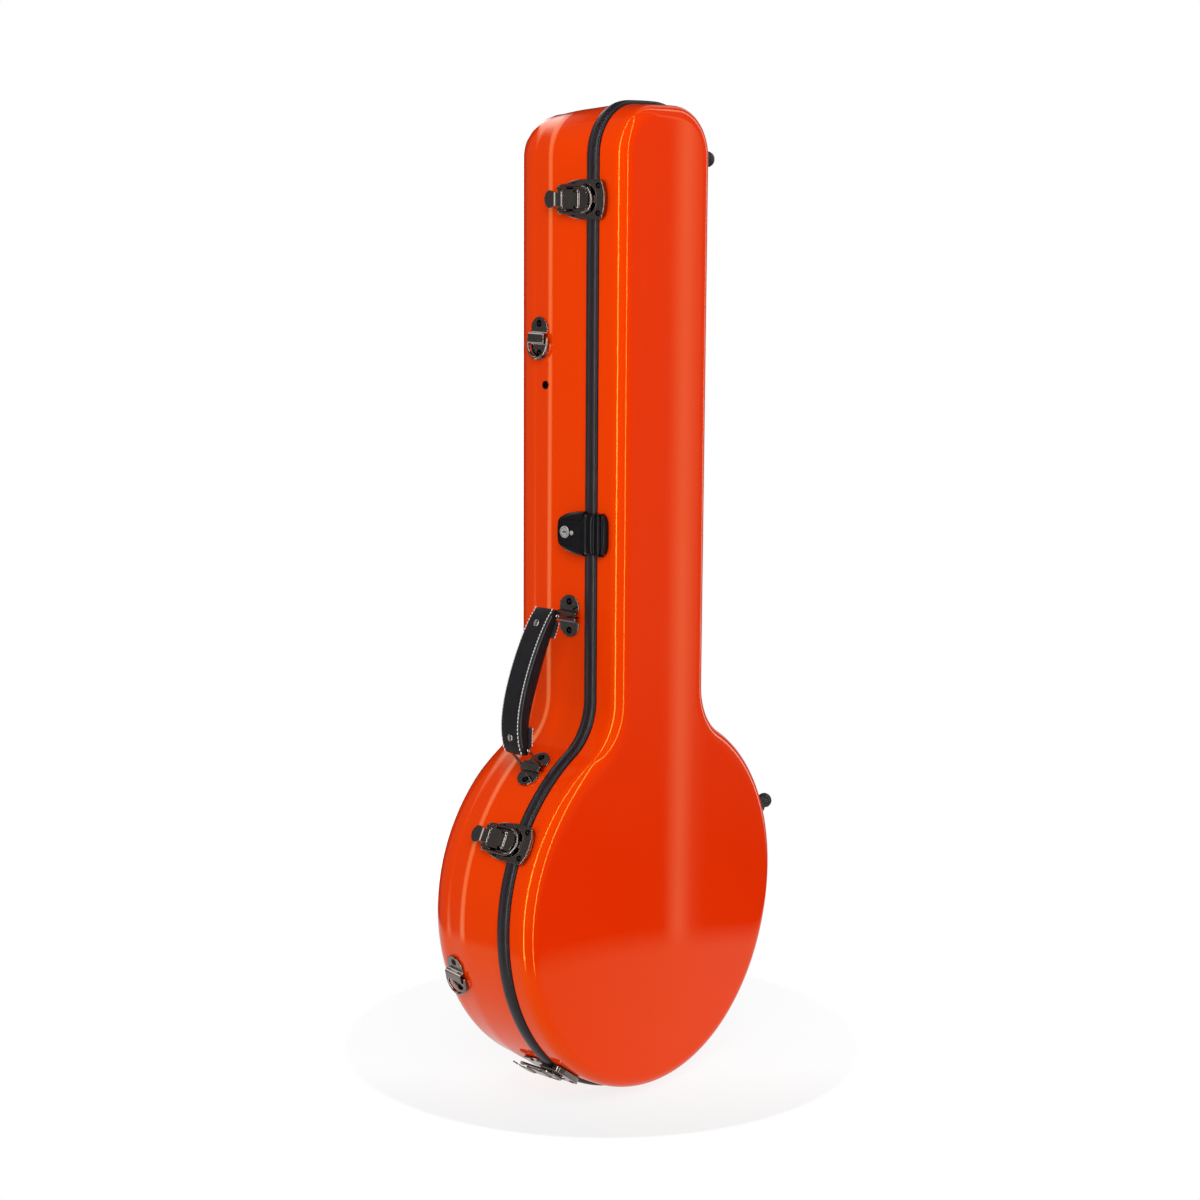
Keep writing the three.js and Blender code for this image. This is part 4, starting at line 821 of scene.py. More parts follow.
def latchCatch(i, spot):
    half, top, edge, inner = latch["half"], latch["catchTop"], latch["catchEdge"], latch["notch"]
    outer = bezierLoop(((inner, edge), (half, edge)), ((half, edge), (half, 12.4)),
                       ((half, 12.4), (half - 0.2, 15.4), (half - 2.6, 17.2)),
                       ((half - 2.6, 17.2), (half / 2, 21), (0, 21)), ((0, 21), (-half / 2, 21), (2.6 - half, 17.2)),
                       ((2.6 - half, 17.2), (0.2 - half, 15.4), (-half, 12.4)),
                       ((-half, 12.4), (-half, edge)), ((-half, edge), (-inner, edge)), steps=12)
    notch = arcPoints(0, -6, inner, 180, 0, 28)
    cover = platePiece("cover", outer + notch, top - 1.7, top, spot, 0.6)
    skirt = [(u * 0.985, v - 0.2) for u, v in outer if v > 8.9]
    skirt = [(half * 0.985, 8.8)] + skirt + [(-half * 0.985, 8.8)]
    foot = platePiece("foot", skirt, case["gap"], top - 1.0, spot, 0.5)
    hookLine = [(12, top - 0.9, 4), (6, top - 0.9, 4), (2.2, top - 1.0, 3.9), (-1.4, top - 1.0, 3.4),
                (-2.0, top - 1.0, 2.4)]
    hook = ribbonPiece("hook", hookLine, 1.5, turnedFrame(spot), 0.5)
    keeper = joinPieces(f"latch_{i}_keeper", [cover, foot, hook])
    dress(keeper, blackNickel, "lid", f"latch_{i}_catch", slot="dark_metal")
    paintedShadeUnderWire = [(u * 1.04, v - 0.2) for u, v in notch if v > 0.3]  # painted shade: a dark plate where the hollow under the wire lies in shadow
    dress(platePiece(f"latch_{i}_pocket", paintedShadeUnderWire, 4.35, 4.75, spot, 0.1), screwMetal, "lid", slot="dark_metal")
    across, v = latch["catchScrew"]
    screwPair(f"latch_{i}_keeper", "lid", spot, across, v, top - 0.1, latch["catchScrewRadius"])


for number, where in enumerate(latch["places"], 1):
    spot = wallFrame(where, case["seam"])
    latchBase(number, spot)
    latchLever(number, spot)
    latchBail(number, spot)
    latchCatch(number, spot)
print("case: latches ready")


# Key lock: body, key disc and button on the back shell, hasp and strike on the lid.
lock = {
    "place": neckSpot(headReach - 408), "half": 23.5, "top": 11.8, "face": 11.0, "panelHalf": 14.5,
    "keyRadius": 6.5, "keyDrop": 28.5, "buttonRadius": 2.4, "buttonDrop": 18, "buttonProud": 1.2,
    "haspHalf": 21.2, "haspFoot": 4.6, "pin": (15.8, 6.6), "pinHalf": 22.3, "pinRadius": 1.2,
    "strikeStart": 18.6, "strikeEnd": 24.6, "strikeTop": 6.8, "ear": 21.5, "earThick": 1.2,
    "sillHalf": 22.7, "sillTop": 1.9, "rib": 0.9,
}


def lockBody(spot):
    half, top, face = lock["half"], lock["top"], lock["face"]
    shape = bezierLoop(((-half, 4), (-half, -17), (-half + 3.4, -33), (-12.5, -38.6)),
                       ((-12.5, -38.6), (0, -41.4), (12.5, -38.6)),
                       ((12.5, -38.6), (half - 3.4, -33), (half, -17), (half, 4)), ((half, 4), (-half, 4)), steps=16)
    body = platePiece("lock_case", shape, -4, top, spot, 3.4, steps=7)
    wide = 60
    # Cut away: what lies behind the wall, what stands above the seam, and the hasp's way.
    for start, end, low, high in ((-wide, 30, -10, case["gap"]), (-2.5, 30, -12, 30), (-9, 12, -9, 4.4)):
        block = [(-wide, start), (wide, start), (wide, end), (-wide, end)]
        cutPiece(body, platePiece("cut", block, low, high, spot, 0.01))
    half = lock["panelHalf"]
    panel, groove, inner = [roundedLoop(m - half, half - m, m - 36.6, -5 - m, radius, 4)
                            for m, radius in ((0, 1.2), (0.2, 1.2), (0.9, 0.9))]
    cutPiece(body, platePiece("cut", panel, face, 20, spot, 0.05))
    cutPiece(body, platePiece("cut", groove, face - 0.7, 20, spot, 0.05, holes=[inner]))
    holes = ((lock["keyRadius"] + 0.35, lock["keyDrop"]), (lock["buttonRadius"] + 0.3, lock["buttonDrop"]))
    for radius, drop in holes:
        bore = [(axis, 4.5), (radius, 4.5), (radius, 20), (axis, 20)]
        cutPiece(body, lathePiece("cut", bore, spot, (0, -drop), 32))
    dress(body, lockPlastic, "back", "lock_body", slot="lock_plastic")


def lockKey(spot):
    r, face, drop = lock["keyRadius"], lock["face"] + 0.6, lock["keyDrop"]
    profile = [(axis, 5), (r, 5), (r, face - 0.5), (r - 0.4, face), (r - 1.1, face), (r - 1.3, face - 0.9),
               (r - 2.1, face - 0.9), (r - 2.3, face), (3.1, face), (2.9, face - 0.5), (2.2, face - 0.9),
               (axis, face - 0.9)]
    disc = lathePiece("lock_key_disc", profile, spot, (0, -drop), 40, 25)
    slot = roundedLoop(-1.1, 1.1, -drop - 2.9, -drop + 2.9, 0.6, 3)
    cutPiece(disc, platePiece("cut", slot, face - 4.5, 20, spot, 0.02))
    dress(disc, keyMetal, "key", "lock_key_cylinder", slot="key_metal")


def lockButton(spot):
    r, top = lock["buttonRadius"], lock["face"] + lock["buttonProud"]
    profile = [(axis, top - 4), (r, top - 4), (r, top - 0.7), (r - 0.5, top - 0.15), (r - 1.2, top), (axis, top)]
    button = lathePiece("lock_release", profile, spot, (0, -lock["buttonDrop"]), 28, 30)
    dress(button, keyMetal, "button", "lock_button", slot="key_metal")


def lockHasp(spot):
    # The section from the seam round to the hidden side: a full hump, a groove and a lower ridge.
    section = ((-2.2, 4.6), (9.6, 4.6), (11.4, 4.2), (12.8, 2.4), (16.2, 2.4), (17.4, 2.8), (18.1, 4.2), (18.1, 6.4),
               (17.6, 7.8), (16.6, 8.6), (15.2, 8.9), (13.7, 8.9), (13.4, 8.1), (13.0, 8.1), (12.8, 9.4),
               (12.3, 10.6), (11.4, 11.7), (10, 12.5), (8, 13.1), (5.5, 13.4), (3, 13.3), (0.5, 12.9),
               (-1.6, 12.3), (-2.2, 11.8))
    half, foot, steps = lock["haspHalf"], lock["haspFoot"], 28
    rings = []
    for k in range(steps + 1):
        u = -half * math.cos(math.pi * k / steps)
        full = math.sqrt(1 - abs(u / half) ** 5 * 0.999)  # 1 in the middle, falling off at both ends
        rings.append([(v - max(0, v - 8) / 10 * 1.8 * (1 - full),
                       foot + (w - foot) * (0.6 + 0.4 * full) if w > foot else w, u) for v, w in section])
    verts, faces = skinRings(rings)
    grip = newPiece("grip", verts, faces, spot @ crossFrame(0), 40)
    (up, out), length, radius = lock["pin"], lock["pinHalf"], lock["pinRadius"]
    profile = [(axis, -length), (radius, -length), (radius, length), (axis, length)]
    pin = lathePiece("pin", profile, rodFrame(spot), (-out, up), 16)
    dress(joinPieces("lock_grip", [grip, pin]), lockPlastic, "hasp", "lock_hasp", slot="lock_plastic")


def lockStrike(spot):
    start, end, gap = lock["strikeStart"], lock["strikeEnd"], case["gap"]
    shape = bezierLoop(((21.6, start), (21.4, start + 2.6), (18, end - 0.4), (10, end)), ((10, end), (-10, end)),
                       ((-10, end), (-18, end - 0.4), (-21.4, start + 2.6), (-21.6, start)),
                       ((-21.6, start), (21.6, start)), steps=12)
    parts = [platePiece("block", shape, -3, lock["strikeTop"], spot, 2.2, steps=6)]
    cutPiece(parts[0], platePiece("cut", roundedLoop(-30, 30, 10, 30, 1, 2), -9, gap, spot, 0.01))
    ear = [(start + 0.6, gap + 0.2), (start + 0.6, 6.4)] + arcPoints(*lock["pin"], 2.2, 30, 170, 7)
    ear += [(13.7, 4.8), (13.7, gap + 0.2)]
    for side in (-1, 1):
        parts.append(standingPlate("ear", ear, side, lock["ear"], lock["earThick"], spot, 0.3))
    half = lock["sillHalf"]
    sill = bezierLoop(((half, 9), (half, 15), (21.6, 22), (12, 24)), ((12, 24), (-12, 24)),
                      ((-12, 24), (-21.6, 22), (-half, 15), (-half, 9)), ((-half, 9), (half, 9)), steps=12)
    parts.append(platePiece("sill", sill, gap, lock["sillTop"], spot, 0.4))
    for v, half in ((20.3, 19), (22.5, 16)):
        parts.append(wirePiece("rib", [(-half, v, 6.2), (half, v, 6.2)], lock["rib"], spot))
    dress(joinPieces("lock_keeper", parts), lockPlastic, "lid", "lock_strike", slot="lock_plastic")


lockSpot = wallFrame(lock["place"], case["seam"])
lockBody(lockSpot)
lockKey(lockSpot)
lockButton(lockSpot)
lockHasp(lockSpot)
lockStrike(lockSpot)
print("case: lock ready")


# The bracket of the handle and of the strap rings: a strip with a fold over the wire.
bracket = {
    "half": 22.6, "width": 27.4, "waist": 26, "plate": 1.8, "strip": 1.5, "screwSpread": 15.6, "screwRadius": 4.0,
    "saddleHalf": 13.4, "saddleFoot": 7.0, "saddleRise": 6.5, "axis": 3.5, "wire": 1.7,
    "fold": ((1.2, 0.1), (1.65, 0.24), (1.9, 0.44), (2.05, 0.66), (2.35, 0.84), (2.9, 0.95), (3.9, 1)),
}


# Two screwed lobes, and between them a folded saddle over the wire.
def strapBracket(name, node, spot):
    lobe = bracket["width"] / 2
    reach = bracket["half"] - lobe
    base = case["gap"] + bracket["plate"] / 2 - 0.1
    half = bracket["waist"] / 2

    def widthAt(u):
        far = abs(u) - reach
        if far >= 8:
            return math.sqrt(max(0.01, lobe ** 2 - far ** 2))
        return max(half, math.sqrt(max(0, lobe ** 2 - far ** 2)) if far > -lobe else 0)

    foot, across, rise = bracket["saddleFoot"], bracket["saddleHalf"], bracket["saddleRise"]
    path = []
    for share in (0.004, 0.02, 0.06, 0.12, 0.2, 0.32, 0.48, 0.66, 0.84, 1):
        u = -bracket["half"] + (bracket["half"] - foot) * share
        path.append((u, base, widthAt(u)))
    lift = rise - base
    path += [(0.5 - foot, base + 0.12, lobe - 0.2)]
    path += [(a - foot, base + b * lift, across) for a, b in bracket["fold"]]
    path += [(-a, w, h) for a, w, h in path[::-1]]
    piece = ribbonPiece(name, path, bracket["strip"], spot, 0.5, 40)
    dress(piece, blackNickel, "back", node, slot="dark_metal")
    screwPair(name, "back", spot, bracket["screwSpread"], 0, base + bracket["strip"] / 2, bracket["screwRadius"])


handle = {
    "height": case["seam"] - 30, "upper": neckSpot(headReach - 317), "lower": bulbSpot(141.3),
    "loop": 33, "loopHalf": 15.6, "upperRest": 10, "lowerRest": 48,
    "bow": 9.5, "sag": 4.2, "width": 27, "end": 15, "middle": 25, "overhang": 6.25,
    "rivets": (0.095, 0.915), "folds": ((0.02, 0.15), (0.85, 1.01)),
    "edge": 13.1, "edgeBead": 0.75, "thread": 0.42, "stitch": 2.1, "pitch": 3.6,
    "rows": (-0.03, 1.02, 11.9), "foldRows": ((0.03, 0.15), (0.86, 1.0)), "foldAcross": 12.0,
}


def wirePin(spot):
    x, y, nx, ny = spot
    return Vector((x + nx * bracket["axis"], y + ny * bracket["axis"]))


def loopReach(degrees):
    turn = math.radians(degrees)
    return Vector((-math.sin(turn), -math.cos(turn))) * handle["loop"]


upperPin, lowerPin = wirePin(handle["upper"]), wirePin(handle["lower"])
upperReach, lowerReach = loopReach(handle["upperRest"]), loopReach(handle["lowerRest"])
gripStart, gripEnd = upperPin + upperReach, lowerPin + lowerReach
gripRun = gripEnd - gripStart


def gripLine(share):
    out = Vector((gripRun.y, -gripRun.x)).normalized()
    inside = min(1, max(0, share))
    sag = handle["sag"] * 12.2  # the curve of the sag peaks at 1 / 12.2
    bulge = 4 * handle["bow"] * inside * (1 - inside) + sag * inside ** 4 * (1 - inside)
    lean = 4 * handle["bow"] * (1 - 2 * inside) + sag * (4 * inside ** 3 - 5 * inside ** 4)
    point = gripStart + gripRun * share + out * bulge
    slope = (gripRun + out * lean).normalized()
    if inside != share:  # past the end the line runs straight on
        point = gripLine(inside)[0] + slope * gripRun.length * (share - inside)
    return point, slope, Vector((slope.y, -slope.x))


def gripThickness(share):
    inside = min(1, max(0, share))
    return handle["end"] + (handle["middle"] - handle["end"]) * max(0, math.sin(math.pi * inside)) ** 0.6


# Half of the closed section, from the middle of the outer face round to the belly.
def gripSection(thick, wide):
    t, h = thick / 2, wide / 2
    strap = min(4.2, thick * 0.33)
    points = [(0, t + 0.15), (h * 0.45, t + 0.1), (h * 0.75, t - 0.05), (h * 0.86, t - 0.2), (h * 0.93, t - 0.45),
              (h * 0.985, t - 1.0), (h, t - 1.8), (h * 0.985, t - 2.6), (h * 0.955, t - strap * 0.8),
              (h * 0.93, t - strap), (h * 0.95, t - strap - 0.8), (h * 0.955, t - strap - 2.0)]
    low, steps = t - strap - 2.4, 8
    for k in range(1, steps + 1):
        a = math.pi / 2 * k / steps
        points.append((h * 0.95 * math.cos(a) ** 0.5 if k < steps else 0, low - (low + t) * math.sin(a)))
    return points


def handleGrip():
    rings = []
    length, steps = gripRun.length, 56
    ends = [-over / length for over in (6.2, 5.9, 5.2, 4.0, 2.2)]  # rounded off past both pins
    shares = ends + [i / steps for i in range(steps + 1)] + [1 - s for s in ends[::-1]]
    for share in shares:
        point, slope, out = gripLine(share)
        over = max(0, -share, share - 1) * length
        cap = math.sqrt(max(0.04, 1 - (over / handle["overhang"]) ** 2)) if over else 1
        wide = handle["width"] * (1 if 0.04 < share < 0.96 else 0.985) * (0.90 + 0.10 * cap)
        half = gripSection(gripThickness(share) * cap, wide)
        loop = half + [(-s, d) for s, d in half[-2:0:-1]]
        rings.append([(point.x + out.x * d, point.y + out.y * d, handle["height"] + s) for s, d in loop])
    verts, faces = skinRings(rings)
    grip = newPiece("grip_leather", verts, faces, sharp=70)
    dress(grip, leather, "grip", "handle_grip", slot="strap_leather")


# A place on the grip, by its share of the length, across the grip and out from its middle line.
def gripPoint(share, across, lift):
    point, slope, out = gripLine(share)
    return Vector((point.x + out.x * lift, point.y + out.y * lift, handle["height"] + across))


def stitchRow(start, end, across, liftAt):
    parts, share = [], start
    step, pitch = handle["stitch"] / gripRun.length, handle["pitch"] / gripRun.length
    while share < end:
        middle, lift = share + step / 2, liftAt(share)
        up = 0.34 if lift > 0 else -0.34
        points = [gripPoint(share, across, lift - up), gripPoint(share + step * 0.2, across, lift + up * 0.6),
                  gripPoint(middle, across, lift + up), gripPoint(share + step * 0.8, across, lift + up * 0.6),
                  gripPoint(share + step, across, lift - up)]
        parts.append(wirePiece("stitch", points, handle["thread"], sides=2))
        share += pitch
    return parts


# Off-white thread: two long rows on the outer face and a short one beside each folded end.
def gripStitches():
    parts = []
    start, end, across = handle["rows"]
    for side in (-1, 1):
        parts += stitchRow(start, end, side * across, lambda s: gripThickness(s) / 2)
    for start, end in handle["foldRows"]:
        parts += stitchRow(start, end, handle["foldAcross"], lambda s: -gripThickness(s) / 2 - 1.1)
    dress(joinPieces("grip_stitching", parts), thread, "grip", slot="strap_leather")


# A thin bead beside each row of stitches, along the strap's rolled edge, in a lighter grey than the leather: painted
# highlight.
def gripEdgeHighlights():
    parts = []
    steps = 40
    for side in (-1, 1):
        line = [gripPoint(s / steps, side * handle["edge"], gripThickness(s / steps) / 2 - 3.1)
                for s in range(1, steps)]
        parts.append(wirePiece("edge", line, handle["edgeBead"], sides=3))
    dress(joinPieces("grip_edge_highlights", parts), strapEdgeHighlight, "grip", slot="strap_leather")


# The strap's end, folded back under the grip and sewn.
def gripFold(name, start, end):
    rings, steps = [], 12
    for k in range(steps + 1):
        share = start + (end - start) * k / steps
        low = -gripThickness(share) / 2
        taper = 1 - 0.12 * abs(2 * k / steps - 1) ** 6
        section = [(-12.9, low + 3.4), (-13.1, low + 1.2), (-12.6, low - 0.4), (-11.4, low - 1.1), (0, low - 1.3),
                   (11.4, low - 1.1), (12.6, low - 0.4), (13.1, low + 1.2), (12.9, low + 3.4), (0, low + 3.6)]
        rings.append([gripPoint(share, u * taper, d) for u, d in section])
    verts, faces = skinRings(rings)
    dress(newPiece("grip_fold_" + name, verts, faces, sharp=50), leather, "grip", slot="strap_leather")


def gripRivet(name, share):
    point, slope, out = gripLine(share)
    lift = gripThickness(share) / 2 + 0.1
    matrix = Matrix(((slope.x, 0, out.x, point.x + out.x * lift), (slope.y, 0, out.y, point.y + out.y * lift),
                     (0, -1, 0, handle["height"]), (0, 0, 0, 1)))
    profile = [(axis, -0.6), (4.0, -0.6), (4.0, 0.1), (3.8, 0.45), (3.2, 0.8), (2.2, 1.05), (1.0, 1.18), (axis, 1.2)]
    rivet = lathePiece("rivet_" + name, profile, matrix, (0, 0), 32, 40)
    dress(rivet, rivetMetal, "grip", "grip_rivet_" + name, slot="key_metal")


def handleLoop(name, pin, reach):
    out = reach.normalized()
    matrix = Matrix(((out.x, 0, out.y, pin.x), (out.y, 0, -out.x, pin.y), (0, 1, 0, handle["height"]), (0, 0, 0, 1)))
    run, half = handle["loop"], handle["loopHalf"]
    loop = roundedLoop(0, run, -half, half, 2.6, 5)
    piece = wirePiece("loop_" + name, [(x, y, 0) for x, y in loop], bracket["wire"], matrix, True)
    dress(piece, blackNickel, name + "_loop", "handle_loop_" + name, slot="dark_metal")


carryRing = {"places": ((neckSpot(243), 77), (bulbSpot(72), 81)), "tilt": 7, "half": 15.8, "leg": 5}


def strapRing(i, spot):
    tilt = Matrix.Rotation(-math.radians(carryRing["tilt"]), 4, "Y")
    matrix = spot @ Matrix.Translation((0, 0, bracket["axis"])) @ tilt
    half, leg, steps = carryRing["half"], carryRing["leg"], 24
    loop = [(0, -half, 0), (0, half, 0), (0.8, half, 0), (leg, half, 0)]
    for k in range(1, steps):
        turn = math.pi * k / steps
        loop.append((leg + half * math.sin(turn), half * math.cos(turn), 0))
    loop += [(leg, -half, 0), (0.8, -half, 0)]
    piece = wirePiece(f"strap_loop_{i}", loop, bracket["wire"], matrix, True)
    dress(piece, blackNickel, f"ring_{i}", f"strap_ring_{i}", slot="dark_metal")


strapBracket("upper_bracket", "handle_bracket_upper", wallFrame(handle["upper"], handle["height"]))
strapBracket("lower_bracket", "handle_bracket_lower", wallFrame(handle["lower"], handle["height"]))
handleLoop("upper", upperPin, upperReach)
handleLoop("lower", lowerPin, lowerReach)
handleGrip()
gripStitches()
gripEdgeHighlights()
for name, (start, end) in zip(("upper", "lower"), handle["folds"]):
    gripFold(name, start, end)
for name, share in zip(("upper", "lower"), handle["rivets"]):
    gripRivet(name, share)
for number, (where, drop) in enumerate(carryRing["places"], 1):
    spot = wallFrame(where, case["seam"] - drop)
    strapBracket(f"strap_anchor_{number}", f"strap_bracket_{number}", spot)
    strapRing(number, spot)
print("case: handle and rings ready")


# Rubber feet on the hinge side, the cradle's screw and the hinges.
bumper = {
    "places": (("head", neckSpot(55, 1)), ("bulb", bulbSpot(110, 1))), "offSeam": 20,
    "profile": ((axis, -1.5), (8.5, -1.5), (8.5, 1.2), (8.1, 1.9), (7.1, 2.2), (6.9, 2.8), (7.0, 9.5), (7.5, 10.2),
                (8.4, 10.6), (8.5, 11.4), (8.3, 14), (7.4, 16.3), (5.8, 18), (3.6, 18.8), (axis, 19)),
}
cradleBolt = {"place": neckSpot(292), "drop": 68, "radius": 4.5}
hingeSoft = {"leaf": 0.0004, "pin": 0.0003}


def rubberFoot(body, label, spot):
    foot = lathePiece(f"{body}_bumper_{label}", bumper["profile"], spot, (0, 0), 40, 40)
    dress(foot, footRubber, body, f"{body}_foot_{label}", slot="foot_rubber")


for label, where in bumper["places"]:
    rubberFoot("lid", label, wallFrame(where, case["seam"] + bumper["offSeam"]))
    rubberFoot("back", label, wallFrame(where, case["seam"] - bumper["offSeam"]))

cradleSpot = wallFrame(cradleBolt["place"], case["seam"] - cradleBolt["drop"])
bolt = panScrew("cradle_bolt", 0, 0, 1.0, cradleSpot, cradleBolt["radius"])
dress(bolt, screwMetal, "back", "cradle_screw", slot="dark_metal")

for label in ("neck", "bulb"):
    for body in ("back", "lid"):
        node = f"hinge_{label}_{body}_leaf"
        dress(softCopy(node, hingeSoft["leaf"]), blackNickel, body, node, slot="dark_metal")
    node = f"hinge_{label}_pin"
    dress(softCopy(node, hingeSoft["pin"]), screwMetal, "back", node, slot="dark_metal")
print("case: feet and hinges ready")


# Pads, cradle and accessory box.
inside = {
    "potRadius": 177, "potTop": bayDepth + 14, "padStart": -190, "ringTop": backRim - 6, "neckGap": 44,
    "neckTop": bayDepth + 10, "floorStart": bayDepth + 10.3, "fit": 0.6,
    "cradleX": 272 - headReach, "cradleLength": 40, "cradleHeight": 90, "cradleNotch": 28,
    "boxX": -400, "boxLength": 88, "boxHeight": 45, "boxWall": 5, "flap": 4, "pull": (22, 14, 1.6),
}


# A pad that fills the bay between two places: rolled edges and a soft crown.
def floorPad(name, x0, x1, low, high, puff, roll=4.0):
    rings = []
    levels = [(roll * 0.9, low), (roll * 0.25, low + roll * 0.3), (0.3, low + roll)]
    top, steps = high - roll, 5
    levels += [(0.3, low + roll + (top - low - roll) * k / 3) for k in (1, 2)] if top > low + roll else []
    for k in range(steps + 1):
        turn = math.pi / 2 * k / steps
        levels.append((0.3 + roll * (1 - math.cos(turn)), top + roll * math.sin(turn)))
    for extra, z in levels:
        wall = []
        for x, y, nx, ny in outline:
            inset = backInset(z, bayDepth) + headLean(x, nx, z) + extra
            wall.append((x - nx * inset, y - ny * inset))
        # past the pad's end the wall widens, so the end is as wide as the wall just before it
        endReach = max(abs(y) for x, y in wall if x <= x1 - extra)
        rings.append([(min(max(x, x0 + extra), x1 - extra), math.copysign(min(abs(y), endReach), y), z)
                      for x, y in wall])
    verts, faces = skinRings(rings, capped=False)

    def crown(x, y, edge):
        across = max(0, 1 - (y / max(edge, 1)) ** 2) ** 0.8
        along = min(1, max(0, (x - x0) / 40)) * min(1, max(0, (x1 - x) / 40))
        return high + puff * across * (along ** 0.5)

    capRows(verts, faces, (len(rings) - 1) * len(outline), 24, crown)
    capRows(verts, faces, 0, 6, lambda x, y, edge: low)
    return newPiece(name, verts, faces, sharp=70)


potPad = floorPad("pot_cushion", inside["padStart"], case["toe"], bayDepth, inside["potTop"], 1.2)
dress(potPad, plushPad, "back", "pot_floor_pad", slot="plush")
neckPad = floorPad("neck_cushion", -headReach, inside["padStart"] - 0.3, bayDepth, inside["neckTop"], 0.0, 3.0)
dress(neckPad, plushPad, "back", "neck_floor_pad", slot="plush")


# The C-shaped side cushion, from one side of the neck's gap round to the other.
def ringPad():
    low, high, pot, gap = inside["potTop"] + 0.3, inside["ringTop"], inside["potRadius"], inside["neckGap"]
    stations = [s for s in halfOutline if s[0] > inside["padStart"]]
    path = stations + [(x, -y, nx, -ny) for x, y, nx, ny in stations[-2::-1]]
    rings = []
    rounding = (4.0, 1.6, 0.5, 0.2)  # how much smaller the section is at each end
    for i, (x, y, nx, ny) in enumerate(path):
        fromEnd = min(i, len(path) - 1 - i)
        shrink = rounding[min(fromEnd, len(rounding) - 1)]
        loop = []
        for s, z in ringSection(low, high, shrink):
            inset = backInset(z, bayDepth)
            ox, oy = x - nx * inset, y - ny * inset
            t = innerReach(ox, oy, nx, ny, pot, gap)
            depth = shrink + s * (t - 2 * shrink)
            loop.append((ox - nx * depth, oy - ny * depth, z))
        rings.append(loop)
    verts, faces = skinRings(rings)
    return newPiece("pot_side_cushion", verts, faces, sharp=70)


# How far the pad reaches in from the wall: to the round bay or to the neck's gap, whichever is nearer.
def innerReach(ox, oy, nx, ny, pot, gap):
    along, never = ox * nx + oy * ny, 1e9
    root = along ** 2 - (ox ** 2 + oy ** 2 - pot ** 2)
    circle = along - math.sqrt(root) if root > 0 else never
    line = never
    if ox < 0 and abs(ny) > 1e-6 and oy * ny > 0:
        line = (abs(oy) - gap) / abs(ny)
    return max(2.0, min(t for t in (circle, line) if t > 0))


# Points of the section as (share from wall to bay, height), rolled at the top and bulged inward.
def ringSection(low, high, shrink):
    height = high - low - 2 * shrink
    base = low + shrink
    points = [(0.02, base + height * 0.94 * k / 6) for k in range(7)]
    roll = ((0.06, 0.975), (0.16, 0.995), (0.35, 1.0), (0.6, 1.0), (0.8, 0.99), (0.93, 0.97), (0.99, 0.93))
    points += [(share, base + height * rise) for share, rise in roll]
    for k in range(8):
        t = 0.86 - 0.86 * k / 7
        points.append((1.0 + 0.05 * math.sin(math.pi * t), base + height * t))
    points.append((0.5, base))
    return points


sidePad = ringPad()
dress(sidePad, plushPad, "back", "pot_ring_pad", slot="plush")


# The bay's cross-section on one side of the neck, between two heights.
def baySection(low, high, slack, steps=8):
    points = []
    for k in range(steps + 1):
        z = low + (high - low) * k / steps
        points.append((case["neck"] - backInset(z, bayDepth) - slack, z))
    return points


def neckCradle():
    low, radius = inside["floorStart"], inside["cradleNotch"]
    high = low + inside["cradleHeight"]
    right = baySection(low, high, inside["fit"])
    top = [(radius + 1, high)] + arcPoints(0, high - 2, radius, 0, -180, 20) + [(-radius - 1, high)]
    shape = right + top + [(-y, z) for y, z in right[::-1]]
    return platePiece("cradle_block", shape, 0.2, inside["cradleLength"] - 0.2, crossFrame(inside["cradleX"]), 2.2,
                      steps=4)


dress(neckCradle(), plushPad, "back", "neck_cradle", slot="plush")


def accessoryBox():
    low, wall, start, length = inside["floorStart"], inside["boxWall"], inside["boxX"], inside["boxLength"]
    right = baySection(low, low + inside["boxHeight"], inside["fit"])
    side = case["neck"] - backInset(low + wall, bayDepth) - inside["fit"] - wall
    shape = right + [(-y, z) for y, z in right[::-1]]
    block = platePiece("box_board", shape, 0.2, length - 0.2, crossFrame(start), 1.2, steps=3)
    room = roundedLoop(start + wall, start + length - wall, -side, side, 3, 4)
    return cutPiece(block, platePiece("cut", room, low + wall, low + inside["boxHeight"] + 20, None, 0.4))


# A padded flap, and the leather tab that lifts it.
def boxLid():
    start, top, half = inside["boxX"], inside["floorStart"] + inside["boxHeight"], case["neck"] - bayDepth - 2
    shape = roundedLoop(start, start + inside["boxLength"], -half, half, 4, 5)
    flap = platePiece("box_flap", shape, top + 0.3, top + 0.3 + inside["flap"], None, 1.7, steps=4)
    dress(flap, plushPad, "pocket_lid", "accessory_lid", slot="plush")
    length, width, thick = inside["pull"]
    shape = roundedLoop(start - 8, start - 8 + length, -width / 2, width / 2, 5, 6)
    tab = platePiece("box_tab", shape, top + 0.6 + inside["flap"], top + 0.6 + inside["flap"] + thick, None, 0.5)
    dress(tab, leather, "pocket_lid", "accessory_pull", slot="strap_leather")


dress(accessoryBox(), plush, "back", "accessory_box", slot="plush")
boxLid()
print("case: pads ready")


# Camera, lamps, floor and the strips that the lacquer reflects.
studio = {
    "target": (-0.3356, -0.05793, 0.128), "turn": 0.8286, "lift": 0.1651, "roll": 0.0063, "distance": 2.516,
    "lens": 71.265, "sensor": 36, "floorX": 0.2132, "floorSize": 1.3, "ambient": 0.6, "dark": 0.003,
    "paper": (0.13, 0.14, 0.14), "contact": (0.072, 0.016), "nearFade": (0.294, 0.300), "farFade": (0.56, 0.66),
    "paperGlow": (0.875, 0.72), "glossyGlow": 0.72, "strips": 10.0,
    "lamps": (("key", (-1.5, -1.5, 1.5), (-0.4, 0, 0.1), (1.4, 1.4), 38),
              ("left", (-0.5, -2.4, -0.3), (-0.3, 0, 0.1), (1.8, 1.4), 13),
              ("right", (-0.5, 1.6, 2.2), (-0.3, 0, 0.1), (2.0, 1.2), 16)),
}


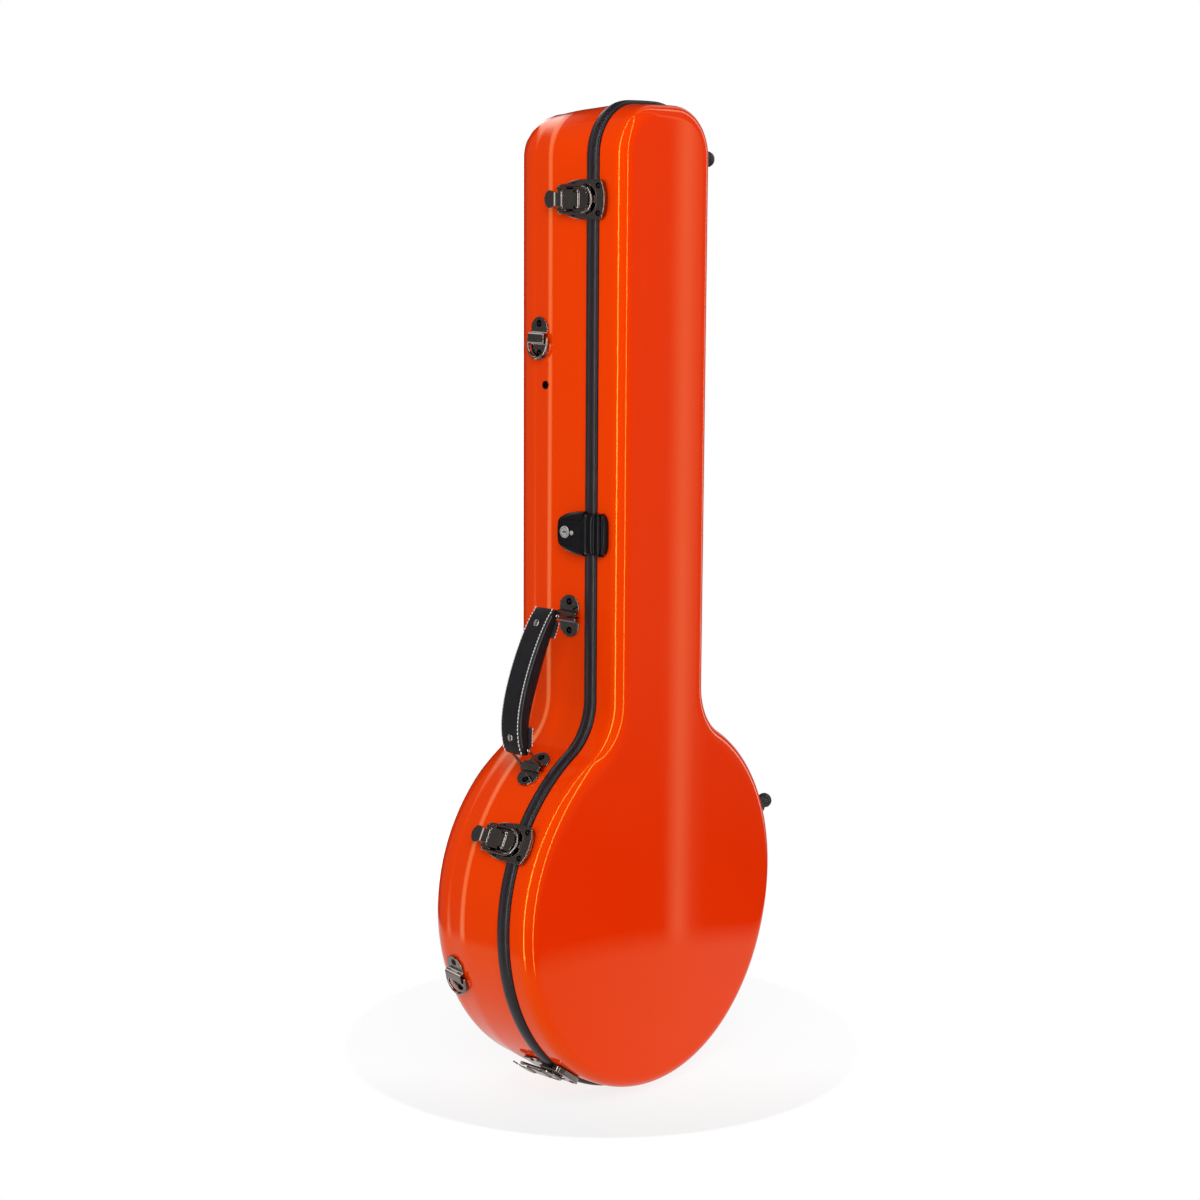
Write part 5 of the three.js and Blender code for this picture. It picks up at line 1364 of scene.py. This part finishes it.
def makeCamera():
    back = Vector((0, -math.sin(studio["turn"]), math.cos(studio["turn"]))) * math.cos(studio["lift"])
    back += Vector((-1, 0, 0)) * math.sin(studio["lift"])
    right = (-back).cross(Vector((-1, 0, 0))).normalized()
    up = right.cross(-back)
    c, s = math.cos(studio["roll"]), math.sin(studio["roll"])
    right, up = right * c + up * s, up * c - right * s
    matrix = Matrix((right, up, back)).transposed().to_4x4()
    matrix.translation = Vector(studio["target"]) + back * studio["distance"]
    data = bpy.data.cameras.new("camera")
    data.sensor_width = studio["sensor"]
    data.lens = studio["lens"]
    data.clip_end = 50
    camera = addObject("camera", data)
    camera.matrix_world = matrix
    bpy.context.scene.camera = camera


def stripRamp(nodes, links, value, stops):
    ramp = nodes.new("ShaderNodeValToRGB")
    links.new(value, ramp.inputs["Fac"])
    elements = ramp.color_ramp.elements
    while len(elements) < len(stops):
        elements.new(0.5)
    for element, (position, strength) in zip(elements, stops):
        element.position = position
        element.color = (strength, strength, strength, 1)
    return ramp.outputs["Color"]


# Turns degrees round the long axis into places on a ramp.
def roundStops(*stops):
    return [(degrees / 360 + 0.5, strength) for degrees, strength in stops]


# White to the camera, plain grey light on the object, and a studio of strips for reflections.
def makeWorld():
    world = bpy.data.worlds.new("studio")
    bpy.context.scene.world = world
    world.use_nodes = True
    nodes, links = world.node_tree.nodes, world.node_tree.links
    nodes.clear()
    out = nodes.new("ShaderNodeOutputWorld")
    coords = nodes.new("ShaderNodeTexCoord")
    axes = nodes.new("ShaderNodeSeparateXYZ")
    links.new(coords.outputs["Generated"], axes.inputs[0])
    angle = mathNode(nodes, links, "ARCTAN2", axes.outputs["Y"], axes.outputs["Z"])
    share = mathNode(nodes, links, "ADD", mathNode(nodes, links, "DIVIDE", angle, 2 * math.pi), 0.5)
    dark = studio["dark"]
    # Strips round the long axis: two thin ones for the lid's rim, a soft one for its face, and the white
    # backdrop behind the case.
    around = stripRamp(nodes, links, share, roundStops(
        (-180, 0.019), (-83, 0.019), (-81, 1.8), (-76, 1.8), (-74, 0.014), (-15, 0.014), (-13, 1.4), (-10, 1.4),
        (-8, dark), (49.4, dark), (49.8, 0.12), (50.2, 0.20), (50.8, 0.16), (51.6, 0.07), (52.3, dark), (98, dark),
        (107, 0.08), (118, 0.08), (128, dark)))
    # A long strip low down draws the pale line that follows the crease of the back shell.
    crease = stripRamp(nodes, links, mathNode(nodes, links, "MULTIPLY", axes.outputs["Z"], -1.0),
                       ((0.72, 0), (0.76, 0.29), (0.80, 0.29), (0.84, 0)))
    # The upper part of the room is a little lighter, and has one more strip beside the neck.
    upper = rangeNode(nodes, links, axes.outputs["X"], 0.18, 0.27, 1, 0)
    above = rangeNode(nodes, links, axes.outputs["Z"], 0.0, 0.4, 0, 0.03)
    beside = stripRamp(nodes, links, share, roundStops((72, 0), (76, 0.3), (83, 0.3), (87, 0)))
    room = mathNode(nodes, links, "MULTIPLY", upper, mathNode(nodes, links, "ADD", above, beside))
    both = mathNode(nodes, links, "ADD", mathNode(nodes, links, "ADD", around, crease), room)
    strips = mathNode(nodes, links, "MULTIPLY", both, studio["strips"])
    reflections = nodes.new("ShaderNodeBackground")
    links.new(strips, reflections.inputs["Strength"])
    ambient = nodes.new("ShaderNodeBackground")
    ambient.inputs["Strength"].default_value = studio["ambient"]
    white = nodes.new("ShaderNodeBackground")
    path = nodes.new("ShaderNodeLightPath")
    glossy = mathNode(nodes, links, "MAXIMUM", path.outputs["Is Glossy Ray"], path.outputs["Is Transmission Ray"])
    first = nodes.new("ShaderNodeMixShader")
    links.new(glossy, first.inputs[0])
    links.new(ambient.outputs[0], first.inputs[1])
    links.new(reflections.outputs[0], first.inputs[2])
    second = nodes.new("ShaderNodeMixShader")
    links.new(path.outputs["Is Camera Ray"], second.inputs[0])
    links.new(first.outputs[0], second.inputs[1])
    links.new(white.outputs[0], second.inputs[2])
    white.inputs["Color"].default_value = (1, 1, 1, 1)
    links.new(second.outputs[0], out.inputs["Surface"])


def softLamp(name, location, target, size, power):
    data = bpy.data.lights.new(name, "AREA")
    data.shape = "RECTANGLE"
    data.size, data.size_y = size
    data.energy = power
    lamp = addObject(name, data)
    lamp.location = location
    lamp.rotation_euler = (Vector(target) - Vector(location)).to_track_quat("-Z", "Y").to_euler()
    lamp.visible_glossy = False


# A plane under the round end, faded at its rim and seen only from above.
def makeFloor():
    x, size = studio["floorX"], studio["floorSize"]
    mesh = bpy.data.meshes.new("floor")
    mesh.from_pydata([(x, -size, -size), (x, -size, size), (x, size, size), (x, size, -size)], [], [(0, 1, 2, 3)])
    floor = addObject("floor", mesh)
    material = bpy.data.materials.new("studio_floor")
    material.use_nodes = True
    nodes, links = material.node_tree.nodes, material.node_tree.links
    nodes.clear()
    out = nodes.new("ShaderNodeOutputMaterial")
    path = nodes.new("ShaderNodeLightPath")
    geometry = nodes.new("ShaderNodeNewGeometry")
    paper = nodes.new("ShaderNodeBsdfDiffuse")
    paper.inputs["Color"].default_value = (*studio["paper"], 1)
    # The paper glows, a little less towards the front, as in a vignette: that fall is painted shade on the floor. It
    # glows less in reflections.
    slope = nodes.new("ShaderNodeVectorMath")
    slope.operation = "DOT_PRODUCT"
    slope.inputs[1].default_value = (0, -0.72, 0.69)
    links.new(geometry.outputs["Position"], slope.inputs[0])
    paintedFloorShade = rangeNode(nodes, links, slope.outputs["Value"], 0.05, 0.32, *studio["paperGlow"])
    dim = rangeNode(nodes, links, path.outputs["Is Glossy Ray"], 0, 1, 1, studio["glossyGlow"])
    glow = nodes.new("ShaderNodeEmission")
    links.new(mathNode(nodes, links, "MULTIPLY", paintedFloorShade, dim), glow.inputs["Strength"])
    lit = nodes.new("ShaderNodeAddShader")
    links.new(paper.outputs[0], lit.inputs[0])
    links.new(glow.outputs[0], lit.inputs[1])
    # Round the place where the case stands it fades out, close by for the camera and wider for the light.
    distance = nodes.new("ShaderNodeVectorMath")
    distance.operation = "DISTANCE"
    distance.inputs[1].default_value = (x, *studio["contact"])
    links.new(geometry.outputs["Position"], distance.inputs[0])
    near = rangeNode(nodes, links, distance.outputs["Value"], *studio["nearFade"], 1, 0)
    far = rangeNode(nodes, links, distance.outputs["Value"], *studio["farFade"], 1, 0)
    reach = nodes.new("ShaderNodeMix")
    links.new(path.outputs["Is Camera Ray"], reach.inputs[0])
    links.new(far, reach.inputs[2])
    links.new(near, reach.inputs[3])
    front = mathNode(nodes, links, "SUBTRACT", 1.0, geometry.outputs["Backfacing"])
    shown = mathNode(nodes, links, "MULTIPLY", reach.outputs[0], front)
    clear = nodes.new("ShaderNodeBsdfTransparent")
    mix = nodes.new("ShaderNodeMixShader")
    links.new(shown, mix.inputs[0])
    links.new(clear.outputs[0], mix.inputs[1])
    links.new(lit.outputs[0], mix.inputs[2])
    links.new(mix.outputs[0], out.inputs["Surface"])
    mesh.materials.append(material)


makeCamera()
makeWorld()
for lamp in studio["lamps"]:
    softLamp(*lamp)
makeFloor()

scene = bpy.context.scene
scene.view_settings.view_transform = "Standard"

print("case: finished")
